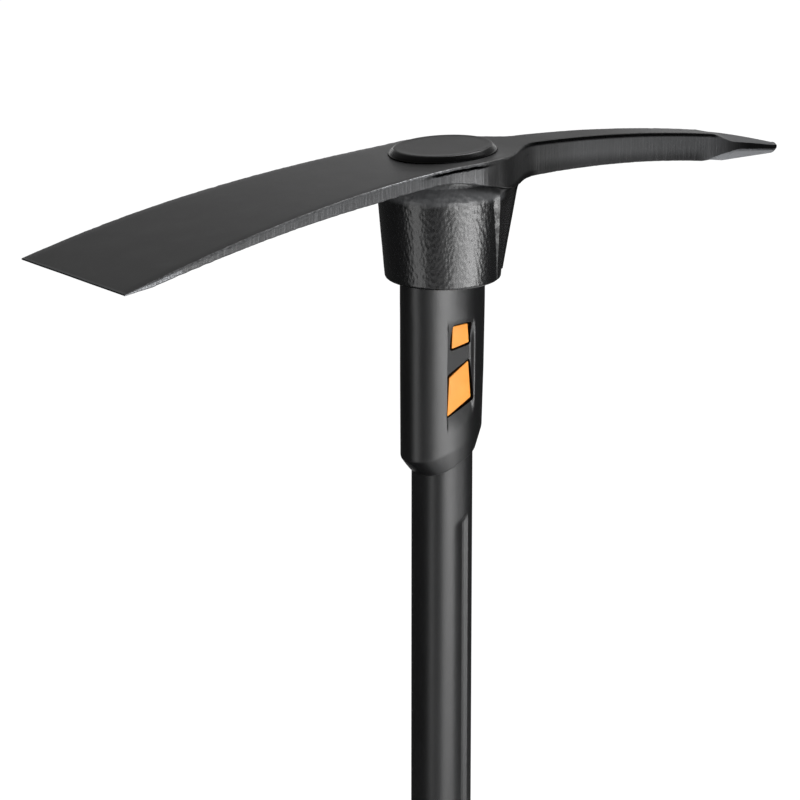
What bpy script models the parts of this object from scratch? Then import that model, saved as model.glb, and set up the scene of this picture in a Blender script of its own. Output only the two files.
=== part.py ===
# Pick mattock: a forged head with an adze blade, an eye and a pick, on a shock-absorbing handle.
# Metres, +Z up. The origin is the middle of the butt's flat end. The blade points to -X, the pick to +X.
# Head sizes are given from the eye axis (x) and down from the top of the eye cap (depth).

import math

import bmesh
import bpy

# Whole tool
OVERALL_LENGTH = 0.914          # butt to top of the eye cap
GAP = 0.0003                    # between pieces that touch
SEGMENTS = 56                   # sides of an oval
OVAL = 2.0                      # exponent of a true ellipse; more is squarer
CUT_BEYOND = 0.010              # cutters run past what they cut by this much

# Head: the arms, seen from above
BLADE_REACH = 0.2396            # eye axis to cutting edge
PICK_REACH = 0.2466             # eye axis to point
EDGE_WIDTH = 0.0892             # blade at its cutting edge
EYE_PLATE_WIDTH = 0.0644        # over the eye axis
EYE_BLEND_START = 0.0125        # the plate draws in to the pick's sides
EYE_BLEND_END = 0.0580          # between these two places
PICK_ROOT_WIDTH = 0.0192
PICK_END_WIDTH = 0.0150         # where the ground point starts

# Head: the arms, seen from the side
BLADE_ARC_RADIUS = 1.077        # the top of each arm is one long arc
PICK_ARC_RADIUS = 1.025
CROWN_DEPTH = 0.0033            # highest place of the steel, below the cap's top
EDGE_THICKNESS = 0.0008
BEVEL_LENGTH = 0.0175           # ground bevel under the cutting edge
BEVEL_HEEL_THICKNESS = 0.0033   # sides of the blade where that bevel starts
BLADE_THICKNESS = 0.0077        # sides of the blade near the eye
BLADE_TAPER_X = -0.0756         # the blade thins from here to the bevel
SWELL_START_X = -0.0313         # the sides grow from blade to pick height between
SWELL_END_X = 0.0400            # these two places
PICK_ROOT_HEIGHT = 0.0197
PICK_END_HEIGHT = 0.0152
BELLY = 0.0012                  # how far the blade's underside swells along its middle
ARM_CORNER = 0.0009             # rounding of the arms' long edges

# Head: the ground point of the pick
POINT_LENGTH = 0.0580
POINT_RIDGE_BEND = 1.18         # exponent; above 1, the upper ridge steepens towards the tip
POINT_SOLE_SLOPE = 0.04         # rise of the lower ridge towards the eye
FACET_SLOPE = 1.0               # fall of the facets from ridge to side, where they are full
FACET_RUN = 0.0215              # they reach that slope over this length
TIP_WIDTH = 0.0044              # where the blunt nose starts
TIP_HEIGHT = 0.0057
TIP_DEPTH = 0.0349              # top of the nose
NOSE_LENGTH = 0.0040
NOSE_END = 0.25                 # size of the nose's flat end, as a share of its start

# Head: the eye
COLLAR_BOTTOM_DEPTH = 0.0714
COLLAR_BOTTOM_RADIUS = 0.0309
COLLAR_SHOULDER_DEPTH = 0.0232  # the collar is one straight cone below this shoulder
COLLAR_SHOULDER_LENGTH = 0.0712 # along the head
COLLAR_SHOULDER_WIDTH = 0.0690
COLLAR_NECK_LENGTH = 0.0672     # the neck leans in from the shoulder to the underside
COLLAR_NECK_INSET = 0.0007      # and lies this far inside the sides of the arms
COLLAR_EDGE_ROUND = 0.0011
# The neck's profile: shares of its depth, and how much wider than a straight neck it is there
NECK_PROFILE = ((0.45, 1.006), (0.8, 1.008), (1.0, 1.0), (1.3, 1.0))
EYE_TOP_LENGTH = 0.0565         # tapered bore, widest at the top
EYE_TOP_WIDTH = 0.0455
EYE_BOTTOM_LENGTH = 0.0488
EYE_BOTTOM_WIDTH = 0.0330
LAND_DEPTH = 0.0046             # flat land that the cap rests on

# Head: the gusset between collar and pick
GUSSET_TOP_START_X = 0.0065     # the gusset's step leaves the collar here, at the top
GUSSET_BOTTOM_START_X = 0.0175  # and here at its foot
GUSSET_TOP_STEP = 0.0042        # length of the step
GUSSET_BOTTOM_STEP = 0.0022
GUSSET_TOP_PROUD = 0.0020       # height of the step
GUSSET_BOTTOM_PROUD = 0.0004
GUSSET_RISE = 0.0085            # below the arms, the step grows over this depth
GUSSET_FILLET = 0.0050          # between the nose and the pick's underside
GUSSET_TOP_NOSE_X = 0.0410
GUSSET_BOTTOM_NOSE_X = 0.0300
GUSSET_NOSE_WIDTH = 0.0246
GUSSET_NOSE_LENGTH = 0.0061
GUSSET_WALL_BEND = 1.12         # exponent; above 1, its walls are slightly full
GUSSET_FOOT_RISE = 0.0009       # the gusset ends this far above the collar's lower face

# Eye cap
CAP_TOP_LENGTH = 0.0569
CAP_TOP_WIDTH = 0.0448
CAP_RIM_LENGTH = 0.0627
CAP_RIM_WIDTH = 0.0501
CAP_EDGE_ROUND = 0.0007
CAP_SPIGOT_LENGTH = 0.0055

# Handle core, a solid rod that flares inside the eye
CORE_LENGTH = 0.0227            # along the head
CORE_WIDTH = 0.0180
CORE_FLARE_LENGTH = 0.0385
CORE_FLARE_WIDTH = 0.0280
CORE_FLARE_END_DEPTH = 0.0680

# Shock sleeve, the soft tube round the core
SHOCK_WALL_X = 0.0058
SHOCK_WALL_Y = 0.0026
SHOCK_END = 0.0798              # lower end, below the head
PAD_PROUD = 0.0003              # how far the window pads stand out of the pocket floor

# Collar sleeve, the hard shell; heights are given below the head's lower face
SLEEVE_WALL_X = 0.0075          # at the plain ring
SLEEVE_WALL_Y = 0.0048
SLEEVE_RING_END = 0.0151        # the flats begin here
SLEEVE_STEP = 0.0021
SLEEVE_FLAT_X = 0.0015          # the flats lie this far inside the ring
SLEEVE_FLAT_Y = 0.0004
SLEEVE_HEEL_X = 0.0010          # and the heel this far inside the flats
SLEEVE_HEEL_Y = 0.0003
SLEEVE_HEEL_SHIFT = -0.0007     # the pick side draws in a little more
SLEEVE_RING_POWER = 2.25
SLEEVE_BODY_POWER = 2.9
SLEEVE_HEEL_END = 0.0911        # where the slanted end starts, on the axis
SLEEVE_HEEL_SLANT = 0.33        # rise towards the pick, per metre
SLEEVE_LIP_END = 0.1004
SLEEVE_LIP_SLANT = 0.43
SLEEVE_LIP = 0.0011             # wall left round the handle
SLEEVE_EDGE_ROUND = 0.0004
SOCKET_TOP = 0.0826             # top of the socket for the handle shell
POCKET_DEPTH = 0.0020           # of the side pockets, in from the flats
POCKET_LENGTH = 0.0194          # along the head
POCKET_SHIFT = -0.0003
POCKET_TOP = 0.0188
POCKET_END = 0.0760             # at the middle of its slanted end
POCKET_SLANT = 0.49
# Windows: the four corners' places along the head and below it, from the upper left one round
UPPER_WINDOW = ((-0.0051, 0.0239), (-0.0057, 0.0368), (0.0066, 0.0350), (0.0057, 0.0239))
LOWER_WINDOW = ((-0.0074, 0.0520), (-0.0087, 0.0739), (0.0080, 0.0660), (0.0062, 0.0447))
WINDOW_CORNER = 0.0009

# Handle shell
SHELL_LENGTH = 0.0310           # along the head
SHELL_WIDTH = 0.0299
SHELL_POWER = 2.7
GROOVE_SHIFT = 0.0006
GROOVE_WIDTH = 0.0112
GROOVE_DEPTH = 0.0019
GROOVE_TOP = 0.1335             # below the head, at the middle of its slanted end
GROOVE_SLANT = 0.54
GROOVE_TO_GRIP = 0.0480         # plain handle left between groove and grip

# Grip and butt; heights are given above the butt's flat end
GRIP_TOP_HEIGHT = 0.372
GRIP_SEAT_STEP = 0.0015         # the shell is reduced by this much inside the grip
GRIP_WALL = 0.0023
GRIP_SWELL = 0.0013             # palm swell, halfway
GRIP_FLARE_X = 0.0073           # flare at the butt
GRIP_FLARE_Y = 0.0050
GRIP_FLARE_LENGTH = 0.0480
GRIP_POWER = 2.4
GRIP_EDGE_ROUND = 0.0010
GRIP_SIDES = 32
GRIP_RIB_COUNT = 18
GRIP_RIB_PITCH = 0.0135
GRIP_RIB_DEPTH = 0.0009
GRIP_RIB_WIDTH = 0.0040
GRIP_RIBS_START = 0.0700        # lowest groove
BUTT_HEIGHT = 0.0080
BUTT_INSET = 0.0006             # inside the grip's flare
BUTT_EDGE_ROUND = 0.0016
BUTT_SPIGOT_LENGTH = 0.0180

# Worked out from the sizes above
CORE_TOP_DEPTH = LAND_DEPTH + CAP_SPIGOT_LENGTH
SHOCK_LENGTH = CORE_LENGTH + 2.0 * (GAP + SHOCK_WALL_X)
SHOCK_WIDTH = CORE_WIDTH + 2.0 * (GAP + SHOCK_WALL_Y)
RING_LENGTH = SHOCK_LENGTH + 2.0 * (GAP + SLEEVE_WALL_X)
RING_WIDTH = SHOCK_WIDTH + 2.0 * (GAP + SLEEVE_WALL_Y)
BODY_LENGTH = RING_LENGTH - 2.0 * SLEEVE_FLAT_X
BODY_WIDTH = RING_WIDTH - 2.0 * SLEEVE_FLAT_Y
HEEL_LENGTH = BODY_LENGTH - 2.0 * SLEEVE_HEEL_X
HEEL_WIDTH = BODY_WIDTH - 2.0 * SLEEVE_HEEL_Y
POCKET_FLOOR = 0.5 * BODY_WIDTH - POCKET_DEPTH
SEAT_LENGTH = SHELL_LENGTH - 2.0 * GRIP_SEAT_STEP
SEAT_WIDTH = SHELL_WIDTH - 2.0 * GRIP_SEAT_STEP
GRIP_LENGTH = SEAT_LENGTH + 2.0 * (GAP + GRIP_WALL)
GRIP_WIDTH = SEAT_WIDTH + 2.0 * (GAP + GRIP_WALL)


def clear_scene():
    for obj in list(bpy.data.objects):
        bpy.data.objects.remove(obj, do_unlink=True)


def make_material(name, colour, roughness, metallic=0.0):
    mat = bpy.data.materials.new(name)
    mat.use_nodes = True
    shader = mat.node_tree.nodes["Principled BSDF"]
    shader.inputs["Base Color"].default_value = (*colour, 1.0)
    shader.inputs["Roughness"].default_value = roughness
    shader.inputs["Metallic"].default_value = metallic
    mat.diffuse_color = (*colour, 1.0)
    return mat


def mix(a, b, t):
    return a + (b - a) * t


def smooth_step(t):
    t = min(max(t, 0.0), 1.0)
    return t * t * (3.0 - 2.0 * t)


def below_head(distance):
    """Height, from the top of the cap, of a place this far below the head's lower face."""
    return -(COLLAR_BOTTOM_DEPTH + distance)


def oval(length, width, z, power=OVAL, slant=0.0, shift=0.0, sides=SEGMENTS):
    """One ring of an oval at height z, rising by slant along x."""
    ring = []
    for i in range(sides):
        angle = 2.0 * math.pi * i / sides
        c, s = math.cos(angle), math.sin(angle)
        x = 0.5 * length * math.copysign(abs(c) ** (2.0 / power), c) + shift
        y = 0.5 * width * math.copysign(abs(s) ** (2.0 / power), s)
        ring.append((x, y, z + slant * x))
    return ring


def build(name, bm, mat, parent=None):
    """Turns the bmesh into an object with its faces outwards and its round faces smooth."""
    bmesh.ops.recalc_face_normals(bm, faces=bm.faces)
    mesh = bpy.data.meshes.new(name)
    bm.to_mesh(mesh)
    bm.free()
    mesh.shade_smooth()
    mesh.set_sharp_from_angle(angle=math.radians(32))
    mesh.materials.append(mat)
    obj = bpy.data.objects.new(name, mesh)
    bpy.context.scene.collection.objects.link(obj)
    obj.parent = parent
    return obj


def loft(rings, tube=False):
    """Skins the rings in turn. A tube's last ring joins its first; a solid gets two end faces."""
    bm = bmesh.new()
    rows = [[bm.verts.new(point) for point in ring] for ring in rings]
    count = len(rows[0])
    pairs = list(zip(rows, rows[1:]))
    if tube:
        pairs.append((rows[-1], rows[0]))
    for low, high in pairs:
        for i in range(count):
            j = (i + 1) % count
            bm.faces.new((low[i], low[j], high[j], high[i]))
    if not tube:
        bm.faces.new(rows[0])
        bm.faces.new(rows[-1])
    return bm


def rounded_polygon(corners, radius, steps=4):
    """The polygon's points with each corner replaced by a curve of about this radius."""
    points = []
    count = len(corners)
    for i in range(count):
        before, corner, after = corners[i - 1], corners[i], corners[(i + 1) % count]
        a = (before[0] - corner[0], before[1] - corner[1])
        b = (after[0] - corner[0], after[1] - corner[1])
        length_a, length_b = math.hypot(*a), math.hypot(*b)
        a, b = (a[0] / length_a, a[1] / length_a), (b[0] / length_b, b[1] / length_b)
        half_angle = 0.5 * math.acos(a[0] * b[0] + a[1] * b[1])
        reach = radius / math.tan(half_angle)
        for k in range(steps + 1):
            t = k / steps
            from_a, from_b = reach * (1 - t) ** 2, reach * t**2
            points.append((corner[0] + from_a * a[0] + from_b * b[0],
                           corner[1] + from_a * a[1] + from_b * b[1]))
    return points


def prism(outline, y_from, y_to):
    """A solid with this outline of (x, z) points between two values of y."""
    return loft([[(x, y, z) for x, z in outline] for y in (y_from, y_to)])


def use_boolean(obj, other, operation):
    """Adds a Boolean and turns the other object into a hidden helper."""
    modifier = obj.modifiers.new(other.name, "BOOLEAN")
    modifier.operation = operation
    modifier.solver = "EXACT"
    modifier.object = other
    other.hide_render = True
    other.display_type = "WIRE"


def arm_top(x):
    """Height of the arms' top surface from the top of the cap."""
    radius = PICK_ARC_RADIUS if x > 0.0 else BLADE_ARC_RADIUS
    return -(CROWN_DEPTH + radius - math.sqrt(radius**2 - x * x))


def arm_width(x):
    """Width of the arms: the blade flares to its edge, the eye draws in smoothly to the pick."""
    if x <= EYE_BLEND_START:
        return mix(EYE_PLATE_WIDTH, EDGE_WIDTH, smooth_step(-x / BLADE_REACH))
    along_pick = max(0.0, (x - EYE_BLEND_END) / (PICK_REACH - POINT_LENGTH - EYE_BLEND_END))
    pick = mix(PICK_ROOT_WIDTH, PICK_END_WIDTH, along_pick)
    blend = smooth_step((x - EYE_BLEND_START) / (EYE_BLEND_END - EYE_BLEND_START))
    return mix(EYE_PLATE_WIDTH, pick, blend)


def arm_height(x):
    """Height of the arms' sides: thin at the cutting edge, deepest at the root of the pick."""
    bevel_x = -BLADE_REACH + BEVEL_LENGTH
    if x <= bevel_x:
        return mix(EDGE_THICKNESS, BEVEL_HEEL_THICKNESS, (x + BLADE_REACH) / BEVEL_LENGTH)
    if x <= BLADE_TAPER_X:
        return mix(BEVEL_HEEL_THICKNESS, BLADE_THICKNESS, (x - bevel_x) / (BLADE_TAPER_X - bevel_x))
    if x <= SWELL_END_X:
        swell = smooth_step((x - SWELL_START_X) / (SWELL_END_X - SWELL_START_X))
        return mix(BLADE_THICKNESS, PICK_ROOT_HEIGHT, swell)
    along = (x - SWELL_END_X) / (PICK_REACH - POINT_LENGTH - SWELL_END_X)
    return mix(PICK_END_HEIGHT, PICK_ROOT_HEIGHT, (1.0 - along) ** 2)


def arm_section(x, half, top, bottom, slope=0.0, belly=0.0, corner=ARM_CORNER):
    """Section of an arm across x. The slope roofs the top and bottom from a middle ridge."""
    across = 8
    flat = half - corner
    upper, lower = top - slope * half, bottom + slope * half
    points = []
    for i in range(across + 1):
        y = flat * (2.0 * i / across - 1.0)
        points.append((x, y, top - slope * abs(y)))
    points += [(x, half, upper - corner), (x, half, lower + corner)]
    for i in range(across + 1):
        y = flat * (1.0 - 2.0 * i / across)
        swell = belly * (1.0 - (y / flat) ** 2)
        points.append((x, y, bottom + slope * abs(y) - swell))
    points += [(x, -half, lower + corner), (x, -half, upper - corner)]
    return points


def body_sections():
    """Sections of the arms from the cutting edge to the start of the ground point."""
    bevel_x = -BLADE_REACH + BEVEL_LENGTH
    point_start = PICK_REACH - POINT_LENGTH
    eye_from, eye_to = 2.0 * SWELL_START_X, 1.1 * EYE_BLEND_END
    spans = ((-BLADE_REACH, bevel_x, 3), (bevel_x, eye_from, 10),
             (eye_from, eye_to, 26), (eye_to, point_start, 8))
    stations = [mix(start, end, i / count) for start, end, count in spans for i in range(count)]
    sections = []
    for x in stations + [point_start]:
        height, top = arm_height(x), arm_top(x)
        belly = BELLY * smooth_step((x - bevel_x) / BEVEL_LENGTH) * smooth_step(1.0 - x / SWELL_END_X)
        sections.append(arm_section(x, 0.5 * arm_width(x), top, top - height,
                                    belly=belly, corner=min(ARM_CORNER, 0.3 * height)))
    return sections


def point_sections():
    """Sections of the ground point: four facets that leave a narrow flat on each side, and a nose."""
    start, nose_x = PICK_REACH - POINT_LENGTH, PICK_REACH - NOSE_LENGTH
    tip_bottom = -TIP_DEPTH - TIP_HEIGHT
    sections = []
    steps = 12
    for i in range(1, steps + 1):
        u = i / steps
        x = mix(start, nose_x, u)
        top = mix(arm_top(start), -TIP_DEPTH, u**POINT_RIDGE_BEND)
        bottom = max(arm_top(x) - PICK_END_HEIGHT, tip_bottom + POINT_SOLE_SLOPE * (nose_x - x))
        sections.append(arm_section(x, 0.5 * mix(PICK_END_WIDTH, TIP_WIDTH, u), top, bottom,
                                    FACET_SLOPE * smooth_step((x - start) / FACET_RUN),
                                    corner=mix(ARM_CORNER, 0.2 * ARM_CORNER, min(1.0, 3.0 * u))))
    nose = sections[-1]
    middle = -TIP_DEPTH - 0.5 * TIP_HEIGHT
    for k in (1, 2, 3):
        size = mix(NOSE_END, 1.0, math.cos(math.pi * k / 6))
        x = nose_x + NOSE_LENGTH * math.sin(math.pi * k / 6)
        sections.append([(x, size * y, middle + size * (z - middle)) for _, y, z in nose])
    return sections


def plate_bottom():
    """Depth of the arms' underside over the eye axis."""
    return CROWN_DEPTH + arm_height(0.0)


def collar_size(depth):
    """Length and width of the collar's outside at this depth."""
    if depth <= COLLAR_SHOULDER_DEPTH:
        t = (depth - plate_bottom()) / (COLLAR_SHOULDER_DEPTH - plate_bottom())
        return (mix(COLLAR_NECK_LENGTH, COLLAR_SHOULDER_LENGTH, t),
                mix(EYE_PLATE_WIDTH - 2.0 * COLLAR_NECK_INSET, COLLAR_SHOULDER_WIDTH, t))
    t = (depth - COLLAR_SHOULDER_DEPTH) / (COLLAR_BOTTOM_DEPTH - COLLAR_SHOULDER_DEPTH)
    bottom = 2.0 * COLLAR_BOTTOM_RADIUS
    return mix(COLLAR_SHOULDER_LENGTH, bottom, t), mix(COLLAR_SHOULDER_WIDTH, bottom, t)


def make_collar(mat, parent):
    """The round, tapering eye collar that hangs below the arms."""
    top = CROWN_DEPTH + 0.5 * BLADE_THICKNESS
    neck = (COLLAR_NECK_LENGTH, EYE_PLATE_WIDTH - 2.0 * COLLAR_NECK_INSET)
    rings = [oval(*neck, -top), oval(*neck, -plate_bottom())]
    span = COLLAR_SHOULDER_DEPTH - plate_bottom()
    for share, bulge in NECK_PROFILE:
        depth = plate_bottom() + share * span
        rings.append(oval(*[bulge * size for size in collar_size(depth)], -depth))
    low = COLLAR_BOTTOM_DEPTH - COLLAR_EDGE_ROUND
    rings.append(oval(*collar_size(low), -low))
    bottom, edge = 2.0 * COLLAR_BOTTOM_RADIUS, COLLAR_EDGE_ROUND
    rings.append(oval(bottom - 0.6 * edge, bottom - 0.6 * edge, below_head(-0.3 * edge)))
    rings.append(oval(bottom - 2.0 * edge, bottom - 2.0 * edge, below_head(0.0)))
    return build("collar_form", loft(rings), mat, parent)


def gusset_ring(depth):
    """Plan of the gusset at this depth: a step out of the collar, then walls to a blunt nose."""
    t = (depth - plate_bottom()) / (COLLAR_BOTTOM_DEPTH - plate_bottom())
    length, width = collar_size(max(depth, plate_bottom()))

    def wall(x):
        return 0.5 * width * math.sqrt(1.0 - (2.0 * x / length) ** 2)

    start_x = mix(GUSSET_TOP_START_X, GUSSET_BOTTOM_START_X, t)
    shoulder_x = start_x + mix(GUSSET_TOP_STEP, GUSSET_BOTTOM_STEP, t)
    grown = smooth_step((depth - plate_bottom()) / GUSSET_RISE)
    flush = min(0.5 * arm_width(shoulder_x) - GAP, wall(shoulder_x))
    shoulder = mix(flush, wall(shoulder_x) + mix(GUSSET_TOP_PROUD, GUSSET_BOTTOM_PROUD, t), grown)
    underside = CROWN_DEPTH + PICK_ROOT_HEIGHT
    cove = 1.0 - min(max((depth - underside) / GUSSET_FILLET, 0.0), 1.0)
    nose_x = mix(GUSSET_TOP_NOSE_X, GUSSET_BOTTOM_NOSE_X, t)
    nose_x += GUSSET_FILLET * (1.0 - math.sqrt(1.0 - cove**2))
    nose = 0.5 * GUSSET_NOSE_WIDTH
    half = [(0.0, 0.8 * shoulder), (start_x, wall(start_x) - GAP), (shoulder_x, shoulder)]
    half += [(mix(shoulder_x, nose_x, k / 4), mix(shoulder, nose, (k / 4) ** GUSSET_WALL_BEND))
             for k in (1, 2, 3, 4)]
    half += [(nose_x + GUSSET_NOSE_LENGTH * math.sin(0.5 * math.pi * k / 5),
              nose * math.cos(0.5 * math.pi * k / 5)) for k in (1, 2, 3, 4)]
    tip = (nose_x + GUSSET_NOSE_LENGTH, 0.0)
    outline = half + [tip] + [(x, -y) for x, y in reversed(half)]
    return [(x, y, -depth) for x, y in outline]


def make_gusset(mat, parent):
    """The web that carries the pick on the collar."""
    top = 0.5 * (CROWN_DEPTH + plate_bottom())
    cove = CROWN_DEPTH + PICK_ROOT_HEIGHT
    foot = COLLAR_BOTTOM_DEPTH - GUSSET_FOOT_RISE
    depths = [top, plate_bottom(), plate_bottom() + 0.5 * GUSSET_RISE]
    depths += [cove + share * GUSSET_FILLET for share in (0.1, 0.3, 0.6, 1.0)]
    depths += [mix(depths[-1], foot, k / 3) for k in (1, 2, 3)]
    return build("gusset_form", loft([gusset_ring(depth) for depth in depths]), mat, parent)


def eye_bore(depth):
    """Length and width of the tapered eye bore at this depth."""
    t = (depth - LAND_DEPTH) / (COLLAR_BOTTOM_DEPTH - LAND_DEPTH)
    return mix(EYE_TOP_LENGTH, EYE_BOTTOM_LENGTH, t), mix(EYE_TOP_WIDTH, EYE_BOTTOM_WIDTH, t)


def make_head(mat, parent):
    """Arms, collar and gusset forged in one, with the eye bored through."""
    head = build("head", loft(body_sections() + point_sections()), mat, parent)
    use_boolean(head, make_collar(mat, parent), "UNION")
    use_boolean(head, make_gusset(mat, parent), "UNION")
    bore = loft([oval(*eye_bore(depth), -depth)
                 for depth in (LAND_DEPTH - CUT_BEYOND, COLLAR_BOTTOM_DEPTH + CUT_BEYOND)])
    use_boolean(head, build("eye_bore_cutter", bore, mat, parent), "DIFFERENCE")
    land = loft([oval(CAP_RIM_LENGTH + 2.0 * GAP, CAP_RIM_WIDTH + 2.0 * GAP, z)
                 for z in (-LAND_DEPTH, CUT_BEYOND)])
    use_boolean(head, build("cap_land_cutter", land, mat, parent), "DIFFERENCE")
    return head


def core_size(depth):
    """Length and width of the core at this depth; it flares towards the top of the eye."""
    t = (CORE_FLARE_END_DEPTH - depth) / (CORE_FLARE_END_DEPTH - CORE_TOP_DEPTH)
    t = min(max(t, 0.0), 1.0)
    return mix(CORE_LENGTH, CORE_FLARE_LENGTH, t), mix(CORE_WIDTH, CORE_FLARE_WIDTH, t)


def make_cap(mat, parent):
    """Oval cap with a rim that leans outwards and a spigot in the shock sleeve's mouth."""
    seat = LAND_DEPTH - GAP
    edge = CAP_EDGE_ROUND
    spigot = core_size(CORE_TOP_DEPTH)
    rings = [
        oval(CAP_TOP_LENGTH - 2.4 * edge, CAP_TOP_WIDTH - 2.4 * edge, 0.0),
        oval(CAP_TOP_LENGTH - 0.8 * edge, CAP_TOP_WIDTH - 0.8 * edge, -0.25 * edge),
        oval(CAP_TOP_LENGTH, CAP_TOP_WIDTH, -edge),
        oval(CAP_RIM_LENGTH - 0.4 * edge, CAP_RIM_WIDTH - 0.4 * edge, -seat + 1.3 * edge),
        oval(CAP_RIM_LENGTH, CAP_RIM_WIDTH, -seat + 0.7 * edge),
        oval(CAP_RIM_LENGTH - edge, CAP_RIM_WIDTH - edge, -seat),
        oval(*spigot, -seat),
        oval(*spigot, -CORE_TOP_DEPTH + GAP),
    ]
    return build("eye_cap", loft(rings), mat, parent)


def window_outline(window, inset=0.0):
    """A window's rounded outline of (x, z) points, drawn in by the inset."""
    middle_x = 0.25 * sum(x for x, _ in window)
    middle_d = 0.25 * sum(d for _, d in window)
    half_x = 0.5 * (max(x for x, _ in window) - min(x for x, _ in window))
    half_d = 0.5 * (max(d for _, d in window) - min(d for _, d in window))
    keep_x, keep_d = 1.0 - inset / half_x, 1.0 - 1.6 * inset / half_d
    corners = [(POCKET_SHIFT + mix(middle_x, x, keep_x), below_head(mix(middle_d, d, keep_d)))
               for x, d in window]
    return rounded_polygon(corners, WINDOW_CORNER - inset)


def make_shock_sleeve(mat, parent):
    """Soft tube between core and eye, with pads that fill the windows below the head."""
    top = LAND_DEPTH + GAP
    clear = 2.0 * GAP
    outside_top = [size - clear for size in eye_bore(top)]
    outside_step = [size - clear for size in eye_bore(COLLAR_BOTTOM_DEPTH)]
    bore_top = [size + clear for size in core_size(CORE_TOP_DEPTH)]
    bore_low = [size + clear for size in core_size(CORE_FLARE_END_DEPTH)]
    rings = [
        oval(*outside_top, -top),
        oval(*outside_step, below_head(0.0)),
        oval(SHOCK_LENGTH, SHOCK_WIDTH, below_head(0.0)),
        oval(SHOCK_LENGTH, SHOCK_WIDTH, below_head(SHOCK_END)),
        oval(*bore_low, below_head(SHOCK_END)),
        oval(*bore_low, -CORE_FLARE_END_DEPTH),
        oval(*bore_top, -CORE_TOP_DEPTH),
        oval(*bore_top, -top),
    ]
    sleeve = build("shock_sleeve", loft(rings, tube=True), mat, parent)
    root = 0.5 * SHOCK_WIDTH - 0.8 * SHOCK_WALL_Y
    for place, window in (("upper", UPPER_WINDOW), ("lower", LOWER_WINDOW)):
        outline = window_outline(window, GAP)
        for side, sign in (("near", -1), ("far", 1)):
            pad = prism(outline, sign * root, sign * (POCKET_FLOOR + PAD_PROUD))
            use_boolean(sleeve, build(f"{place}_{side}_pad_form", pad, mat, parent), "UNION")
    return sleeve


def pocket_outline():
    """Outline of (x, z) points of the side pocket, with its slanted lower end."""
    left = POCKET_SHIFT - 0.5 * POCKET_LENGTH
    right = POCKET_SHIFT + 0.5 * POCKET_LENGTH
    return rounded_polygon([
        (left, below_head(POCKET_TOP)),
        (left, below_head(POCKET_END - POCKET_SLANT * left)),
        (right, below_head(POCKET_END - POCKET_SLANT * right)),
        (right, below_head(POCKET_TOP)),
    ], WINDOW_CORNER)


def make_collar_sleeve(mat, parent):
    """Hard shell below the head: plain ring, flatted body with windows, slanted lower end."""
    clear = 2.0 * GAP
    lip = 2.0 * SLEEVE_LIP
    edge = SLEEVE_EDGE_ROUND
    socket = (SHELL_LENGTH + clear, SHELL_WIDTH + clear)
    bore = (SHOCK_LENGTH + clear, SHOCK_WIDTH + clear)
    ring, body = SLEEVE_RING_POWER, SLEEVE_BODY_POWER
    middle = 0.5 * (SLEEVE_RING_END + SLEEVE_HEEL_END)
    rings = [
        oval(RING_LENGTH - 2.0 * edge, RING_WIDTH - 2.0 * edge, below_head(GAP), ring),
        oval(RING_LENGTH, RING_WIDTH, below_head(GAP + edge), ring),
        oval(RING_LENGTH, RING_WIDTH, below_head(SLEEVE_RING_END), ring),
        oval(BODY_LENGTH, BODY_WIDTH, below_head(SLEEVE_RING_END + SLEEVE_STEP), body),
        oval(mix(BODY_LENGTH, HEEL_LENGTH, 0.3), mix(BODY_WIDTH, HEEL_WIDTH, 0.3),
             below_head(middle), body, shift=0.4 * SLEEVE_HEEL_SHIFT),
        oval(HEEL_LENGTH, HEEL_WIDTH, below_head(SLEEVE_HEEL_END), body,
             SLEEVE_HEEL_SLANT, SLEEVE_HEEL_SHIFT),
        oval(socket[0] + lip, socket[1] + lip, below_head(SLEEVE_LIP_END),
             SHELL_POWER, SLEEVE_LIP_SLANT),
        oval(socket[0] + 0.5 * lip, socket[1] + 0.5 * lip, below_head(SLEEVE_LIP_END + edge),
             SHELL_POWER, SLEEVE_LIP_SLANT),
        oval(*socket, below_head(SLEEVE_LIP_END), SHELL_POWER, SLEEVE_LIP_SLANT),
        oval(*socket, below_head(SOCKET_TOP), SHELL_POWER),
        oval(*bore, below_head(SOCKET_TOP)),
        oval(*bore, below_head(GAP)),
    ]
    sleeve = build("collar_sleeve", loft(rings, tube=True), mat, parent)
    outside, inside = RING_WIDTH, 0.25 * SHOCK_WIDTH
    for side, sign in (("near", -1), ("far", 1)):
        cutter = prism(pocket_outline(), sign * POCKET_FLOOR, sign * outside)
        use_boolean(sleeve, build(f"{side}_pocket_cutter", cutter, mat, parent), "DIFFERENCE")
    for place, window in (("upper", UPPER_WINDOW), ("lower", LOWER_WINDOW)):
        for side, sign in (("near", -1), ("far", 1)):
            cutter = prism(window_outline(window), sign * inside, sign * outside)
            use_boolean(sleeve, build(f"{place}_{side}_window_cutter", cutter, mat, parent), "DIFFERENCE")
    return sleeve


def make_core(mat, parent):
    """Solid rod from the eye to the butt cap's spigot."""
    bottom = BUTT_HEIGHT + BUTT_SPIGOT_LENGTH + GAP - OVERALL_LENGTH
    rings = [
        oval(*core_size(CORE_TOP_DEPTH), -CORE_TOP_DEPTH),
        oval(*core_size(CORE_FLARE_END_DEPTH), -CORE_FLARE_END_DEPTH),
        oval(CORE_LENGTH, CORE_WIDTH, bottom),
    ]
    return build("handle_core", loft(rings), mat, parent)


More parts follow.
